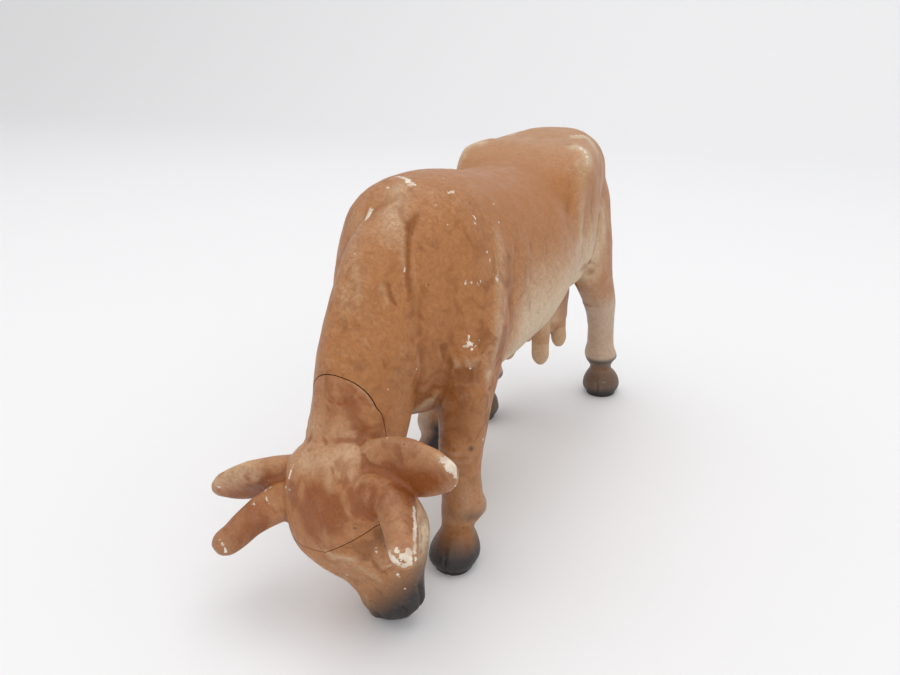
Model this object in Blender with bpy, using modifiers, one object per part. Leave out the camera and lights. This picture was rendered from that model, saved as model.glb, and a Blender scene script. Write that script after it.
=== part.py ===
"""A grazing cow: a moulded and hand-painted toy farm animal.

The figure stands on four soles with its head down at the grass. The trunk, the neck and
the face are one solid moulding. The crown, which carries both ears and both horns, is let
into the top of the head and neck. The four legs, the udder and the tail plug into the
trunk with spigots that are glued in their sockets. Nothing on the figure moves.

Metres, +Z up. The head points to -Y and the cow's left side is +X.
"""

import math
from functools import partial

import bmesh
import bpy
import numpy as np
from mathutils import Matrix, Vector

# Whole figure
WITHERS_HEIGHT = 0.0770
BACK_LENGTH = 0.1000
BARREL_HALF_WIDTH = 0.0190

# Neck, head, ears and horns
NECK_HALF_WIDTH = 0.0088
NECK_HALF_DEPTH = 0.0094
HEAD_LENGTH = 0.0360
HEAD_HALF_WIDTH = 0.0116
HEAD_DEPTH = 0.0122
HORN_REACH = 0.0213
HORN_FORWARD = 0.0123
HORN_RADIUS = 0.0028
HORN_SAG = 0.0016
EAR_REACH = 0.0290
EAR_HALF_WIDTH = 0.0056
EAR_HALF_THICKNESS = 0.0026

# Legs, udder and tail
STANCE_HALF_WIDTH = 0.0125
LEG_HALF_WIDTH = 0.0052
LEG_HALF_DEPTH = 0.0057
UDDER_HALF_WIDTH = 0.0074
UDDER_HALF_LENGTH = 0.0096
TEAT_RADIUS = 0.0021
TEAT_DROP = 0.0170
TAIL_HALF_WIDTH = 0.0022
TAIL_HALF_DEPTH = 0.0020

# Joints: the glue gap all round, and the spigots
GLUE_GAP = 0.0003
LEG_SPIGOT_RADIUS = 0.0026
LEG_SPIGOT_LENGTH = 0.0060
CROWN_SPIGOT_RADIUS = 0.0026
CROWN_SPIGOT_LENGTH = 0.0050
CROWN_INSET = 0.0068
CROWN_ARCH_RADIUS = 0.0083
UDDER_SEAT_HALF_WIDTH = 0.0067
UDDER_SEAT_HALF_LENGTH = 0.0154

OVERRUN = 0.0200

# Surface: grain of the modelled skin, how it is softened and how much of it is kept
MOULD_GRAIN = 0.0008
SMOOTHING_SHARE = 0.5
SMOOTHING_PASSES = 6
KEPT_FACES_SHARE = 0.080
CREASE_ANGLE = math.radians(40)

# Points round a section, and sections along each form
RING_POINTS = 28
SPIGOT_POINTS = 20
TAIL_POINTS = 14
PAD_COLUMNS = 24
PAD_ROWS = 14
TRUNK_SECTIONS = 56
NECK_SECTIONS = 36
HEAD_SECTIONS = 40
HORN_SECTIONS = 26
EAR_SECTIONS = 26
LEG_SECTIONS = 44
UDDER_SECTIONS = 20
TEAT_SECTIONS = 14
TAIL_SECTIONS = 30
ARCH_STEPS = 12

# Squareness of a section: 2 is an ellipse, more has fuller corners
OVAL = 2.0
HEAD_SQUARENESS = 2.5
LEG_SQUARENESS = 2.1
SEAT_SQUARENESS = 3.0

# How the head hangs: leaned to the cow's left, turned and tucked in
HEAD_LEAN = math.radians(-19.7)
HEAD_TURN = math.radians(-4.4)
HEAD_TUCK = math.radians(5.5)
POLL_SHARES = (-0.179, -0.599, 0.452)
RIGHT_EAR_TWIST_SHARE = 0.55

# Sections along the trunk: place along the back, half width, top, underside, how far up
# the section it is widest, and its squareness
TRUNK_SHARES = [
    (-0.470, 0.24, 0.740, 0.530, 0.50, 2.0),
    (-0.440, 0.47, 0.830, 0.470, 0.50, 2.0),
    (-0.390, 0.66, 0.935, 0.435, 0.50, 2.1),
    (-0.330, 0.80, 0.997, 0.418, 0.52, 2.4),
    (-0.260, 0.85, 1.010, 0.415, 0.50, 2.4),
    (-0.160, 0.91, 0.998, 0.420, 0.47, 2.3),
    (-0.040, 0.98, 0.970, 0.425, 0.46, 2.2),
    (0.080, 1.01, 0.955, 0.450, 0.48, 2.2),
    (0.175, 0.96, 0.950, 0.485, 0.52, 2.3),
    (0.225, 0.91, 0.960, 0.508, 0.66, 3.2),
    (0.270, 0.94, 0.982, 0.530, 0.75, 4.8),
    (0.360, 0.90, 0.992, 0.570, 0.71, 4.4),
    (0.450, 0.81, 1.005, 0.595, 0.64, 2.8),
    (0.510, 0.71, 1.005, 0.630, 0.60, 2.4),
    (0.550, 0.54, 0.980, 0.690, 0.58, 2.2),
    (0.575, 0.26, 0.920, 0.765, 0.50, 2.0),
]

# Sections down the neck, square to its path: centre x, y, z, half width, half depth
NECK_SHARES = [
    (0.00, -0.260, 0.740, 1.59, 1.91),
    (0.00, -0.340, 0.735, 1.27, 1.81),
    (0.00, -0.410, 0.690, 1.04, 1.49),
    (-0.01, -0.465, 0.605, 1.02, 1.17),
    (-0.04, -0.490, 0.505, 1.01, 1.03),
    (-0.10, -0.510, 0.415, 0.98, 0.98),
    (-0.14, -0.530, 0.350, 0.82, 0.80),
]

# Sections down the head from the poll: place, half width, how far out in front and behind
HEAD_SHARES = [
    (-0.04, 0.34, -0.04, 0.57),
    (0.01, 0.66, 0.15, 0.74),
    (0.11, 0.84, 0.38, 0.86),
    (0.25, 0.95, 0.57, 0.90),
    (0.38, 1.00, 0.64, 0.94),
    (0.49, 0.99, 0.57, 1.00),
    (0.60, 0.93, 0.39, 1.00),
    (0.71, 0.78, 0.20, 0.87),
    (0.82, 0.60, 0.13, 0.69),
    (0.91, 0.56, 0.12, 0.56),
    (0.97, 0.48, 0.07, 0.46),
    (1.00, 0.28, -0.05, 0.30),
]

# The horns from their roots: out to the side, down the face, forward, radius, and how much
# of the sag it has, as the left horn hangs lower than the right
HORN_SHARES = [
    (0.15, 0.22, 0.02, 1.36, 0.00),
    (0.42, 0.23, 0.04, 1.40, 0.00),
    (0.66, 0.25, 0.16, 1.25, 0.10),
    (0.82, 0.29, 0.48, 1.04, 0.45),
    (0.91, 0.33, 0.73, 0.92, 0.65),
    (0.98, 0.35, 0.92, 0.75, 0.90),
    (1.00, 0.36, 1.00, 0.43, 1.00),
]

# The ears: out to the side, down the face, forward, half width, half thickness
EAR_SHARES = [
    (0.13, 0.15, -0.29, 0.64, 1.00),
    (0.33, 0.14, -0.25, 0.82, 0.95),
    (0.47, 0.14, -0.18, 0.96, 0.85),
    (0.64, 0.14, -0.08, 1.00, 0.70),
    (0.80, 0.14, 0.02, 0.84, 0.61),
    (0.93, 0.14, 0.11, 0.56, 0.50),
    (1.00, 0.14, 0.16, 0.28, 0.31),
]

# Level sections down each leg: centre x, y, z, half width, half depth
FORELEG_LEFT_SHARES = [
    (0.76, -0.275, 0.830, 0.77, 1.40),
    (0.88, -0.275, 0.725, 1.19, 1.89),
    (0.93, -0.290, 0.625, 1.27, 1.77),
    (0.95, -0.305, 0.530, 1.11, 1.37),
    (0.95, -0.320, 0.460, 0.97, 1.08),
    (0.95, -0.330, 0.390, 0.86, 0.90),
    (0.95, -0.340, 0.325, 0.80, 0.82),
    (0.95, -0.340, 0.245, 0.76, 0.72),
    (0.98, -0.336, 0.170, 0.86, 0.86),
    (0.90, -0.345, 0.120, 0.70, 0.70),
    (0.87, -0.350, 0.085, 0.86, 0.90),
    (0.86, -0.355, 0.030, 1.00, 1.02),
    (0.86, -0.355, 0.000, 0.95, 0.95),
    (0.86, -0.355, -0.025, 0.88, 0.88),
]
FORELEG_RIGHT_SHARES = [
    (0.76, -0.270, 0.830, 0.77, 1.40),
    (0.88, -0.260, 0.725, 1.19, 1.89),
    (0.92, -0.230, 0.625, 1.27, 1.73),
    (0.91, -0.185, 0.530, 1.11, 1.37),
    (0.88, -0.135, 0.455, 0.97, 1.08),
    (0.84, -0.090, 0.385, 0.86, 0.92),
    (0.82, -0.050, 0.310, 0.81, 0.84),
    (0.81, -0.020, 0.235, 0.76, 0.72),
    (0.86, -0.012, 0.165, 0.86, 0.86),
    (0.85, -0.020, 0.120, 0.70, 0.70),
    (0.85, -0.030, 0.085, 0.86, 0.90),
    (0.86, -0.030, 0.030, 1.00, 1.02),
    (0.86, -0.030, 0.000, 0.95, 0.95),
    (0.86, -0.030, -0.025, 0.88, 0.88),
]
HINDLEG_LEFT_SHARES = [
    (0.83, 0.390, 0.885, 0.87, 2.28),
    (0.88, 0.400, 0.780, 1.15, 2.63),
    (0.93, 0.410, 0.675, 1.17, 2.42),
    (0.99, 0.430, 0.585, 1.08, 1.86),
    (1.03, 0.465, 0.495, 0.92, 1.38),
    (1.07, 0.510, 0.405, 0.84, 0.98),
    (1.07, 0.535, 0.325, 0.74, 0.80),
    (1.06, 0.553, 0.225, 0.73, 0.73),
    (1.06, 0.560, 0.168, 0.88, 0.88),
    (1.06, 0.570, 0.118, 0.63, 0.68),
    (1.05, 0.580, 0.082, 0.84, 0.86),
    (1.05, 0.585, 0.030, 1.02, 1.02),
    (1.05, 0.585, 0.000, 0.99, 0.98),
    (1.05, 0.585, -0.025, 0.92, 0.90),
]
HINDLEG_RIGHT_SHARES = [
    (0.83, 0.380, 0.885, 0.87, 2.28),
    (0.88, 0.380, 0.780, 1.15, 2.63),
    (0.93, 0.375, 0.675, 1.17, 2.42),
    (0.99, 0.370, 0.585, 1.04, 1.78),
    (1.01, 0.375, 0.495, 0.86, 1.32),
    (1.00, 0.385, 0.405, 0.84, 1.00),
    (1.01, 0.370, 0.325, 0.76, 0.82),
    (1.00, 0.329, 0.225, 0.73, 0.74),
    (0.97, 0.306, 0.155, 0.88, 0.90),
    (1.02, 0.291, 0.108, 0.64, 0.70),
    (1.03, 0.290, 0.075, 0.86, 0.88),
    (1.03, 0.285, 0.030, 1.02, 1.02),
    (1.03, 0.285, 0.000, 0.99, 0.98),
    (1.03, 0.285, -0.025, 0.92, 0.90),
]

# Udder and tail: centre x, y, z, half width, half depth
UDDER_SHARES = [
    (0.07, 0.350, 0.650, 0.90, 1.05),
    (0.07, 0.372, 0.560, 0.87, 1.42),
    (0.07, 0.375, 0.480, 0.86, 1.45),
    (0.07, 0.372, 0.410, 0.87, 1.38),
    (0.07, 0.365, 0.365, 0.84, 1.20),
    (0.07, 0.355, 0.335, 0.48, 0.70),
]
TAIL_SHARES = [
    (0.00, 0.480, 0.890, 0.80, 0.85),
    (0.00, 0.520, 0.915, 0.86, 0.92),
    (0.00, 0.560, 0.928, 1.00, 1.00),
    (0.00, 0.594, 0.908, 1.00, 1.00),
    (-0.02, 0.612, 0.855, 0.86, 0.90),
    (-0.06, 0.615, 0.725, 0.73, 0.80),
    (-0.11, 0.610, 0.595, 0.68, 0.75),
    (-0.13, 0.610, 0.520, 0.95, 1.00),
    (-0.14, 0.605, 0.440, 1.32, 1.25),
    (-0.15, 0.600, 0.365, 1.00, 0.95),
    (-0.15, 0.600, 0.310, 0.36, 0.40),
]

# Teats: place on the udder and size. Their sections: drop, spread from the middle, radius
UDDER_MIDDLE_SHARES = (0.068, 0.372, 0.468)
TEAT_SHARES = [
    (0.635, -1.000, 1.00),
    (-0.635, -1.000, 1.00),
    (0.635, 0.470, 0.96),
    (-0.635, 0.470, 0.96),
]
TEAT_SECTION_SHARES = [
    (0.00, 0.70, 1.15),
    (0.41, 0.88, 1.22),
    (0.68, 0.97, 1.04),
    (0.92, 1.00, 0.90),
    (1.00, 1.00, 0.45),
]

# Bone and muscle under the skin, on both sides: hook bone, pin bone, shoulder, thigh
PAD_SHARES = [
    ((0.740, 0.282, 0.930), (0.125, 0.055, 0.034)),
    ((0.289, 0.510, 0.922), (0.242, 0.058, 0.070)),
    ((0.575, -0.240, 0.701), (0.305, 0.110, 0.195)),
    ((0.600, 0.430, 0.710), (0.242, 0.120, 0.170)),
]
EYE_PLACE_SHARES = (0.840, 0.420, 0.080)
EYE_HALF_SIZE_SHARES = (0.200, 0.240, 0.200)

# Outline of the crown in the head's frame: across the face from the right, then the arch
CROWN_LOW_SHARES = [
    (-2.600, 0.545),
    (-1.380, 0.447),
    (-1.086, 0.360),
    (-0.905, 0.351),
    (0.000, 0.425),
    (0.905, 0.351),
    (1.086, 0.360),
    (1.380, 0.447),
    (2.600, 0.545),
]
CROWN_LEFT_SHARES = [(2.600, -0.080), (1.200, -0.080)]
CROWN_RIGHT_SHARES = [(-0.560, -0.080), (-2.600, -0.080)]
CROWN_ARCH_SHARES = (0.380, -0.112)
CROWN_SPIGOT_SHARES = (0.130, 0.050)

# The udder's seat: height and size, from inside the belly to under the teats
UDDER_ROOM_SHARES = [(0.600, 1.00), (0.445, 1.00), (0.420, 1.18), (0.100, 1.18)]

# Room of each leg: inner and outer x, front and back y, top at the inner and outer edge.
# Then the place of its spigot
FORELEG_LEFT_ROOM_SHARES = (0.400, 1.760, -0.430, -0.190, 0.395, 0.549)
FORELEG_RIGHT_ROOM_SHARES = (0.400, 1.760, -0.360, 0.080, 0.395, 0.549)
HINDLEG_LEFT_ROOM_SHARES = (0.600, 1.760, 0.375, 0.680, 0.486, 0.526)
HINDLEG_RIGHT_ROOM_SHARES = (0.600, 1.760, 0.200, 0.520, 0.486, 0.526)
FORELEG_LEFT_SPIGOT_SHARES = (0.930, -0.305)
FORELEG_RIGHT_SPIGOT_SHARES = (0.900, -0.150)
HINDLEG_LEFT_SPIGOT_SHARES = (1.050, 0.460)
HINDLEG_RIGHT_SPIGOT_SHARES = (1.030, 0.373)

# Legs: name, side, sections, room and spigot
LEFT = 1
RIGHT = -1
LEGS = [
    ("foreleg_left", LEFT, FORELEG_LEFT_SHARES, FORELEG_LEFT_ROOM_SHARES, FORELEG_LEFT_SPIGOT_SHARES),
    ("foreleg_right", RIGHT, FORELEG_RIGHT_SHARES, FORELEG_RIGHT_ROOM_SHARES, FORELEG_RIGHT_SPIGOT_SHARES),
    ("hindleg_left", LEFT, HINDLEG_LEFT_SHARES, HINDLEG_LEFT_ROOM_SHARES, HINDLEG_LEFT_SPIGOT_SHARES),
    ("hindleg_right", RIGHT, HINDLEG_RIGHT_SHARES, HINDLEG_RIGHT_ROOM_SHARES, HINDLEG_RIGHT_SPIGOT_SHARES),
]

# Paint
COAT_BROWN = (0.42, 0.20, 0.09)
CROWN_BROWN = (0.38, 0.15, 0.05)
LEG_BROWN = (0.34, 0.18, 0.09)
UDDER_BROWN = (0.52, 0.27, 0.15)
TAIL_BROWN = (0.30, 0.13, 0.05)
PAINT_ROUGHNESS = 0.45


# Curves and skins


def smooth_rows(rows, count):
    """Rows of numbers carried smoothly through each other, evenly spaced by their centres."""
    rows = np.array(rows, float)
    steps = np.linalg.norm(np.diff(rows[:, :3], axis=0), axis=1)
    places = np.concatenate([[0.0], np.cumsum(steps)])
    slopes = np.gradient(rows, places, axis=0)
    wanted = np.linspace(0.0, places[-1], count)
    index = np.clip(np.searchsorted(places, wanted, side="right") - 1, 0, len(places) - 2)
    span = (places[index + 1] - places[index])[:, None]
    t = (wanted - places[index])[:, None] / span
    near, far = rows[index], rows[index + 1]
    return (
        near * (2 * t**3 - 3 * t**2 + 1)
        + far * (3 * t**2 - 2 * t**3)
        + slopes[index] * span * (t**3 - 2 * t**2 + t)
        + slopes[index + 1] * span * (t**3 - t**2)
    )


def outline(squareness, count=RING_POINTS):
    """The points of a closed outline of unit half width and half height."""
    turn = np.linspace(0.0, math.tau, count, endpoint=False)
    x, y = np.cos(turn), np.sin(turn)
    power = 2 / squareness
    return np.sign(x) * np.abs(x) ** power, np.sign(y) * np.abs(y) ** power


def finish_mesh(name, mesh):
    mesh.normal_update()
    bmesh.ops.recalc_face_normals(mesh, faces=mesh.faces)
    data = bpy.data.meshes.new(name)
    mesh.to_mesh(data)
    mesh.free()
    thing = bpy.data.objects.new(name, data)
    bpy.context.scene.collection.objects.link(thing)
    return thing


def skin(name, rings):
    """A closed skin drawn through rings of points."""
    mesh = bmesh.new()
    loops = [[mesh.verts.new(point) for point in ring] for ring in rings]
    for near, far in zip(loops, loops[1:]):
        for i, corner in enumerate(near):
            j = (i + 1) % len(near)
            mesh.faces.new((corner, near[j], far[j], far[i]))
    mesh.faces.new(loops[0][::-1])
    mesh.faces.new(loops[-1])
    return finish_mesh(name, mesh)


def limb(name, rows, width_way, count, points=RING_POINTS, squareness=OVAL):
    """A tapering limb of sections square to its path."""
    rows = smooth_rows(rows, count)
    path = rows[:, :3]
    run = np.gradient(path, axis=0)
    run /= np.linalg.norm(run, axis=1)[:, None]
    x, y = outline(squareness, points)
    rings = []
    for centre, forward, (width, depth) in zip(path, run, rows[:, 3:5]):
        across = np.array(width_way) - np.dot(width_way, forward) * forward
        across /= np.linalg.norm(across)
        up = np.cross(across, forward)
        ring = [Vector(centre + across * a * width + up * b * depth) for a, b in zip(x, y)]
        rings.append(ring)
    return skin(name, rings)


def pad(name, place, half_sizes, turn=Matrix.Identity(3)):
    """An egg of muscle or bone under the skin."""
    mesh = bmesh.new()
    bmesh.ops.create_uvsphere(mesh, u_segments=PAD_COLUMNS, v_segments=PAD_ROWS, radius=1)
    for vert in mesh.verts:
        vert.co = turn @ Vector(c * h for c, h in zip(vert.co, half_sizes)) + Vector(place)
    return finish_mesh(name, mesh)


# The head's own frame


def head_frame():
    """Columns: towards the cow's left, down the face, and out of the forehead."""
    turned = Matrix.Rotation(HEAD_TURN, 3, "Z") @ Matrix.Rotation(HEAD_LEAN, 3, "Y")
    turned = turned @ Matrix.Rotation(HEAD_TUCK, 3, "X")
    return turned @ Matrix(((1, 0, 0), (0, 0, -1), (0, -1, 0)))


def poll():
    side, along, up = POLL_SHARES
    return Vector((side * BARREL_HALF_WIDTH, along * BACK_LENGTH, up * WITHERS_HEIGHT))


def on_head(side, along, front):
    return head_frame() @ Vector((side, along, front)) + poll()


# Forms of the animal, which run into each other under one skin


def on_trunk(x, y, z):
    """A point given in shares of the figure's width, length and height."""
    return (x * BARREL_HALF_WIDTH, y * BACK_LENGTH, z * WITHERS_HEIGHT)


def trunk_form():
    rows = []
    for y, w, t, b, level, squareness in TRUNK_SHARES:
        top, bottom = t * WITHERS_HEIGHT, b * WITHERS_HEIGHT
        rows.append((*on_trunk(0, y, 0), w * BARREL_HALF_WIDTH, top, bottom, level, squareness))
    rings = []
    for _, y, _, width, top, bottom, level, squareness in smooth_rows(rows, TRUNK_SECTIONS):
        x, z = outline(squareness)
        middle = bottom + (top - bottom) * level
        height = np.where(z > 0, top - middle, middle - bottom)
        rings.append([Vector((a * width, y, middle + b)) for a, b in zip(x, z * height)])
    return skin("trunk_form", rings)


def neck_form():
    rows = []
    for x, y, z, w, d in NECK_SHARES:
        rows.append((*on_trunk(x, y, z), w * NECK_HALF_WIDTH, d * NECK_HALF_DEPTH))
    return limb("neck_form", rows, (1, 0, 0), NECK_SECTIONS)


def head_form():
    rows = [
        (0, 0, a * HEAD_LENGTH, w * HEAD_HALF_WIDTH, f * HEAD_DEPTH, b * HEAD_DEPTH)
        for a, w, f, b in HEAD_SHARES
    ]
    x, y = outline(HEAD_SQUARENESS)
    rings = []
    for _, _, along, width, front, back in smooth_rows(rows, HEAD_SECTIONS):
        out = y * (front + back) / 2 + (front - back) / 2
        rings.append([on_head(a * width, along, b) for a, b in zip(x, out)])
    return skin("head_form", rings)


def horn_form(side):
    rows = []
    for s, a, f, size, sag in HORN_SHARES:
        along = a * HEAD_LENGTH + side * sag * HORN_SAG
        place = on_head(side * s * HORN_REACH, along, f * HORN_FORWARD)
        rows.append((*place, size * HORN_RADIUS, size * HORN_RADIUS))
    return limb("horn_form", rows, head_frame().col[1], HORN_SECTIONS)


def ear_form(side):
    rows = []
    for s, a, f, w, t in EAR_SHARES:
        place = on_head(side * s * EAR_REACH, a * HEAD_LENGTH, f * HEAD_DEPTH)
        rows.append((*place, w * EAR_HALF_WIDTH, t * EAR_HALF_THICKNESS))
    twist = RIGHT_EAR_TWIST_SHARE if side == RIGHT else 0
    flat_way = head_frame().col[1] - twist * head_frame().col[2]
    return limb("ear_form", rows, flat_way, EAR_SECTIONS)


def eye_form(side):
    s, a, f = EYE_PLACE_SHARES
    place = on_head(side * s * HEAD_HALF_WIDTH, a * HEAD_LENGTH, f * HEAD_DEPTH)
    half_sizes = [share * HEAD_HALF_WIDTH for share in EYE_HALF_SIZE_SHARES]
    return pad("eye_form", place, half_sizes, head_frame())


def leg_form(side, shares):
    rows = []
    for x, y, z, w, d in shares:
        place = (side * x * STANCE_HALF_WIDTH, y * BACK_LENGTH, z * WITHERS_HEIGHT)
        rows.append((*place, w * LEG_HALF_WIDTH, d * LEG_HALF_DEPTH))
    x, y = outline(LEG_SQUARENESS)
    rings = []
    for cx, cy, cz, width, depth in smooth_rows(rows, LEG_SECTIONS):
        rings.append([Vector((cx + a * width, cy + b * depth, cz)) for a, b in zip(x, y)])
    return skin("leg_form", rings)


def body_pads():
    things = []
    for (x, y, z), sizes in PAD_SHARES:
        for side in (LEFT, RIGHT):
            things.append(pad("pad", on_trunk(side * x, y, z), on_trunk(*sizes)))
    return things


def udder_forms():
    rows = []
    for x, y, z, w, d in UDDER_SHARES:
        place = (x * UDDER_HALF_WIDTH, y * BACK_LENGTH, z * WITHERS_HEIGHT)
        rows.append((*place, w * UDDER_HALF_WIDTH, d * UDDER_HALF_LENGTH))
    things = [limb("udder_form", rows, (1, 0, 0), UDDER_SECTIONS, squareness=SEAT_SQUARENESS)]
    for x, y, size in TEAT_SHARES:
        rows = []
        for drop, spread, share in TEAT_SECTION_SHARES:
            centre_x = (UDDER_MIDDLE_SHARES[0] + x * spread) * UDDER_HALF_WIDTH
            centre_y = UDDER_MIDDLE_SHARES[1] * BACK_LENGTH + y * spread * UDDER_HALF_LENGTH
            height = UDDER_MIDDLE_SHARES[2] * WITHERS_HEIGHT - drop * TEAT_DROP
            radius = share * size * TEAT_RADIUS
            rows.append((centre_x, centre_y, height, radius, radius))
        things.append(limb("teat_form", rows, (1, 0, 0), TEAT_SECTIONS))
    return things


def tail_form(name, gap):
    rows = []
    for x, y, z, w, d in TAIL_SHARES:
        rows.append((*on_trunk(x, y, z), w * TAIL_HALF_WIDTH + gap, d * TAIL_HALF_DEPTH + gap))
    x, y, *rest = rows[0]
    rows[0] = (x, y - gap, *rest)
    return limb(name, rows, (1, 0, 0), TAIL_SECTIONS, TAIL_POINTS)


# Modifiers


def applied(thing):
    """The object with its modifiers worked in."""
    graph = bpy.context.evaluated_depsgraph_get()
    data = bpy.data.meshes.new_from_object(thing.evaluated_get(graph))
    thing.modifiers.clear()
    thing.data = data
    return thing


def joined(name, things):
    mesh = bmesh.new()
    for thing in things:
        mesh.from_mesh(thing.data)
        bpy.data.objects.remove(thing)
    return finish_mesh(name, mesh)


def one_skin(name, things):
    """The forms melted into one smooth closed skin."""
    whole = joined(name, things)
    remesh = whole.modifiers.new("skin", "REMESH")
    remesh.mode = "VOXEL"
    remesh.voxel_size = MOULD_GRAIN
    smooth = whole.modifiers.new("soften", "SMOOTH")
    smooth.factor = SMOOTHING_SHARE
    smooth.iterations = SMOOTHING_PASSES
    thin = whole.modifiers.new("thin", "DECIMATE")
    thin.ratio = KEPT_FACES_SHARE
    thin.use_collapse_triangulate = True
    return applied(whole)


def combine(thing, other, operation):
    cut = thing.modifiers.new(operation.lower(), "BOOLEAN")
    cut.operation = operation
    cut.object = other
    cut.solver = "EXACT"
    return applied(thing)


def copy_of(thing, name):
    twin = bpy.data.objects.new(name, thing.data.copy())
    bpy.context.scene.collection.objects.link(twin)
    return twin


# Cutters, each with the glue gap added where it cuts the socket


def spigot(name, foot, way, radius, length, gap):
    """A round pin that stands on its foot. It starts one radius inside its own piece."""
    depth = length + gap + radius
    way = Vector(way).normalized()
    turn = Vector((0, 0, 1)).rotation_difference(way).to_matrix().to_4x4()
    middle = Vector(foot) + way * (depth / 2 - radius)
    mesh = bmesh.new()
    bmesh.ops.create_cone(
        mesh,
        cap_ends=True,
        segments=SPIGOT_POINTS,
        radius1=radius + gap,
        radius2=radius + gap,
        depth=depth,
        matrix=Matrix.Translation(middle) @ turn,
    )
    return finish_mesh(name, mesh)


def leg_room(name, side, shares, gap):
    """The room of one leg: a box down to the sole whose top slopes up to the outside."""
    inner, outer, front, back, inner_top, outer_top = shares
    mesh = bmesh.new()
    bmesh.ops.create_cube(mesh, size=1)
    for vert in mesh.verts:
        outside = vert.co.x > 0
        x = outer * STANCE_HALF_WIDTH + gap if outside else inner * STANCE_HALF_WIDTH - gap
        y = back * BACK_LENGTH + gap if vert.co.y > 0 else front * BACK_LENGTH - gap
        top = (outer_top if outside else inner_top) * WITHERS_HEIGHT + gap
        sole = -OVERRUN if gap else 0
        vert.co = (side * x, y, top if vert.co.z > 0 else sole)
    return finish_mesh(name, mesh)


def leg_rooms(side, room_shares, spigot_shares, name, gap):
    inner, outer, _, _, inner_top, outer_top = room_shares
    x, y = spigot_shares
    slope = (outer_top - inner_top) / (outer - inner)
    height = (inner_top + slope * (x - inner)) * WITHERS_HEIGHT
    rise = slope * WITHERS_HEIGHT / STANCE_HALF_WIDTH
    foot = (side * x * STANCE_HALF_WIDTH, y * BACK_LENGTH, height)
    way = (-side * rise, 0, 1)
    pin = spigot(name + "_pin", foot, way, LEG_SPIGOT_RADIUS, LEG_SPIGOT_LENGTH, gap)
    return [leg_room(name, side, room_shares, gap), pin]


def crown_room(name, gap):
    """The room of the crown: an arch over the neck and a shallow V across the forehead."""
    points = [(s * HEAD_HALF_WIDTH, a * HEAD_LENGTH + gap) for s, a in CROWN_LOW_SHARES]
    points += [(s * HEAD_HALF_WIDTH, a * HEAD_LENGTH - gap) for s, a in CROWN_LEFT_SHARES]
    arch_side, arch_along = CROWN_ARCH_SHARES
    radius = CROWN_ARCH_RADIUS + gap
    for step in range(ARCH_STEPS + 1):
        angle = math.pi * step / ARCH_STEPS
        side = arch_side * HEAD_HALF_WIDTH + radius * math.cos(angle)
        points.append((side, arch_along * HEAD_LENGTH - radius * math.sin(angle)))
    points += [(s * HEAD_HALF_WIDTH, a * HEAD_LENGTH - gap) for s, a in CROWN_RIGHT_SHARES]
    back = [on_head(side, along, -CROWN_INSET - gap) for side, along in points]
    front = [on_head(side, along, OVERRUN) for side, along in points]
    return skin(name, (back, front))


def crown_rooms(name, gap):
    side, along = CROWN_SPIGOT_SHARES
    foot = on_head(side * HEAD_HALF_WIDTH, along * HEAD_LENGTH, -CROWN_INSET)
    way = -head_frame().col[2]
    pin = spigot(name + "_pin", foot, way, CROWN_SPIGOT_RADIUS, CROWN_SPIGOT_LENGTH, gap)
    return [crown_room(name, gap), pin]


def udder_rooms(name, gap):
    """The room of the udder: a rounded seat in the belly, wider below it for the teats."""
    middle_x = UDDER_MIDDLE_SHARES[0] * UDDER_HALF_WIDTH
    middle_y = UDDER_MIDDLE_SHARES[1] * BACK_LENGTH
    x, y = outline(SEAT_SQUARENESS)
    rings = []
    for height, share in UDDER_ROOM_SHARES:
        width = UDDER_SEAT_HALF_WIDTH * share + gap
        length = UDDER_SEAT_HALF_LENGTH * share + gap
        top = height * WITHERS_HEIGHT + gap
        ring = [Vector((middle_x + a * width, middle_y + b * length, top)) for a, b in zip(x, y)]
        rings.append(ring)
    return [skin(name, rings)]


# The pieces


def clear_scene():
    for thing in list(bpy.data.objects):
        bpy.data.objects.remove(thing)


def paint(thing, colour):
    material = bpy.data.materials.new(thing.name + "_paint")
    material.use_nodes = True
    shader = material.node_tree.nodes["Principled BSDF"]
    shader.inputs["Base Color"].default_value = (*colour, 1)
    shader.inputs["Roughness"].default_value = PAINT_ROUGHNESS
    thing.data.materials.clear()
    thing.data.materials.append(material)


def shade(thing):
    """Smooth over the modelled skin, with crisp edges where it was cut."""
    thing.data.shade_smooth()
    thing.data.set_sharp_from_angle(angle=CREASE_ANGLE)


def set_on_origin(pieces):
    """The middle of the whole figure's footprint goes over the origin."""
    corners = np.array([vert.co for piece in pieces for vert in piece.data.vertices])
    middle = (corners.min(axis=0) + corners.max(axis=0)) / 2
    shift = Matrix.Translation((-middle[0], -middle[1], 0))
    for piece in pieces:
        piece.data.transform(shift)


def file_away(pieces, cutters):
    """The pieces and the cutters each go to their own collection."""
    for title, things in (("toy_cow", pieces), ("cutters", cutters)):
        collection = bpy.data.collections.new(title)
        bpy.context.scene.collection.children.link(collection)
        for thing in things:
            bpy.context.scene.collection.objects.unlink(thing)
            collection.objects.link(thing)
    for thing in cutters:
        thing.hide_render = True
        thing.display_type = "WIRE"


def animal_skin():
    forms = [trunk_form(), neck_form(), head_form(), *body_pads(), *udder_forms()]
    for side in (LEFT, RIGHT):
        forms += [horn_form(side), ear_form(side), eye_form(side)]
    for _, side, shares, _, _ in LEGS:
        forms.append(leg_form(side, shares))
    return one_skin("animal", forms)


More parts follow.
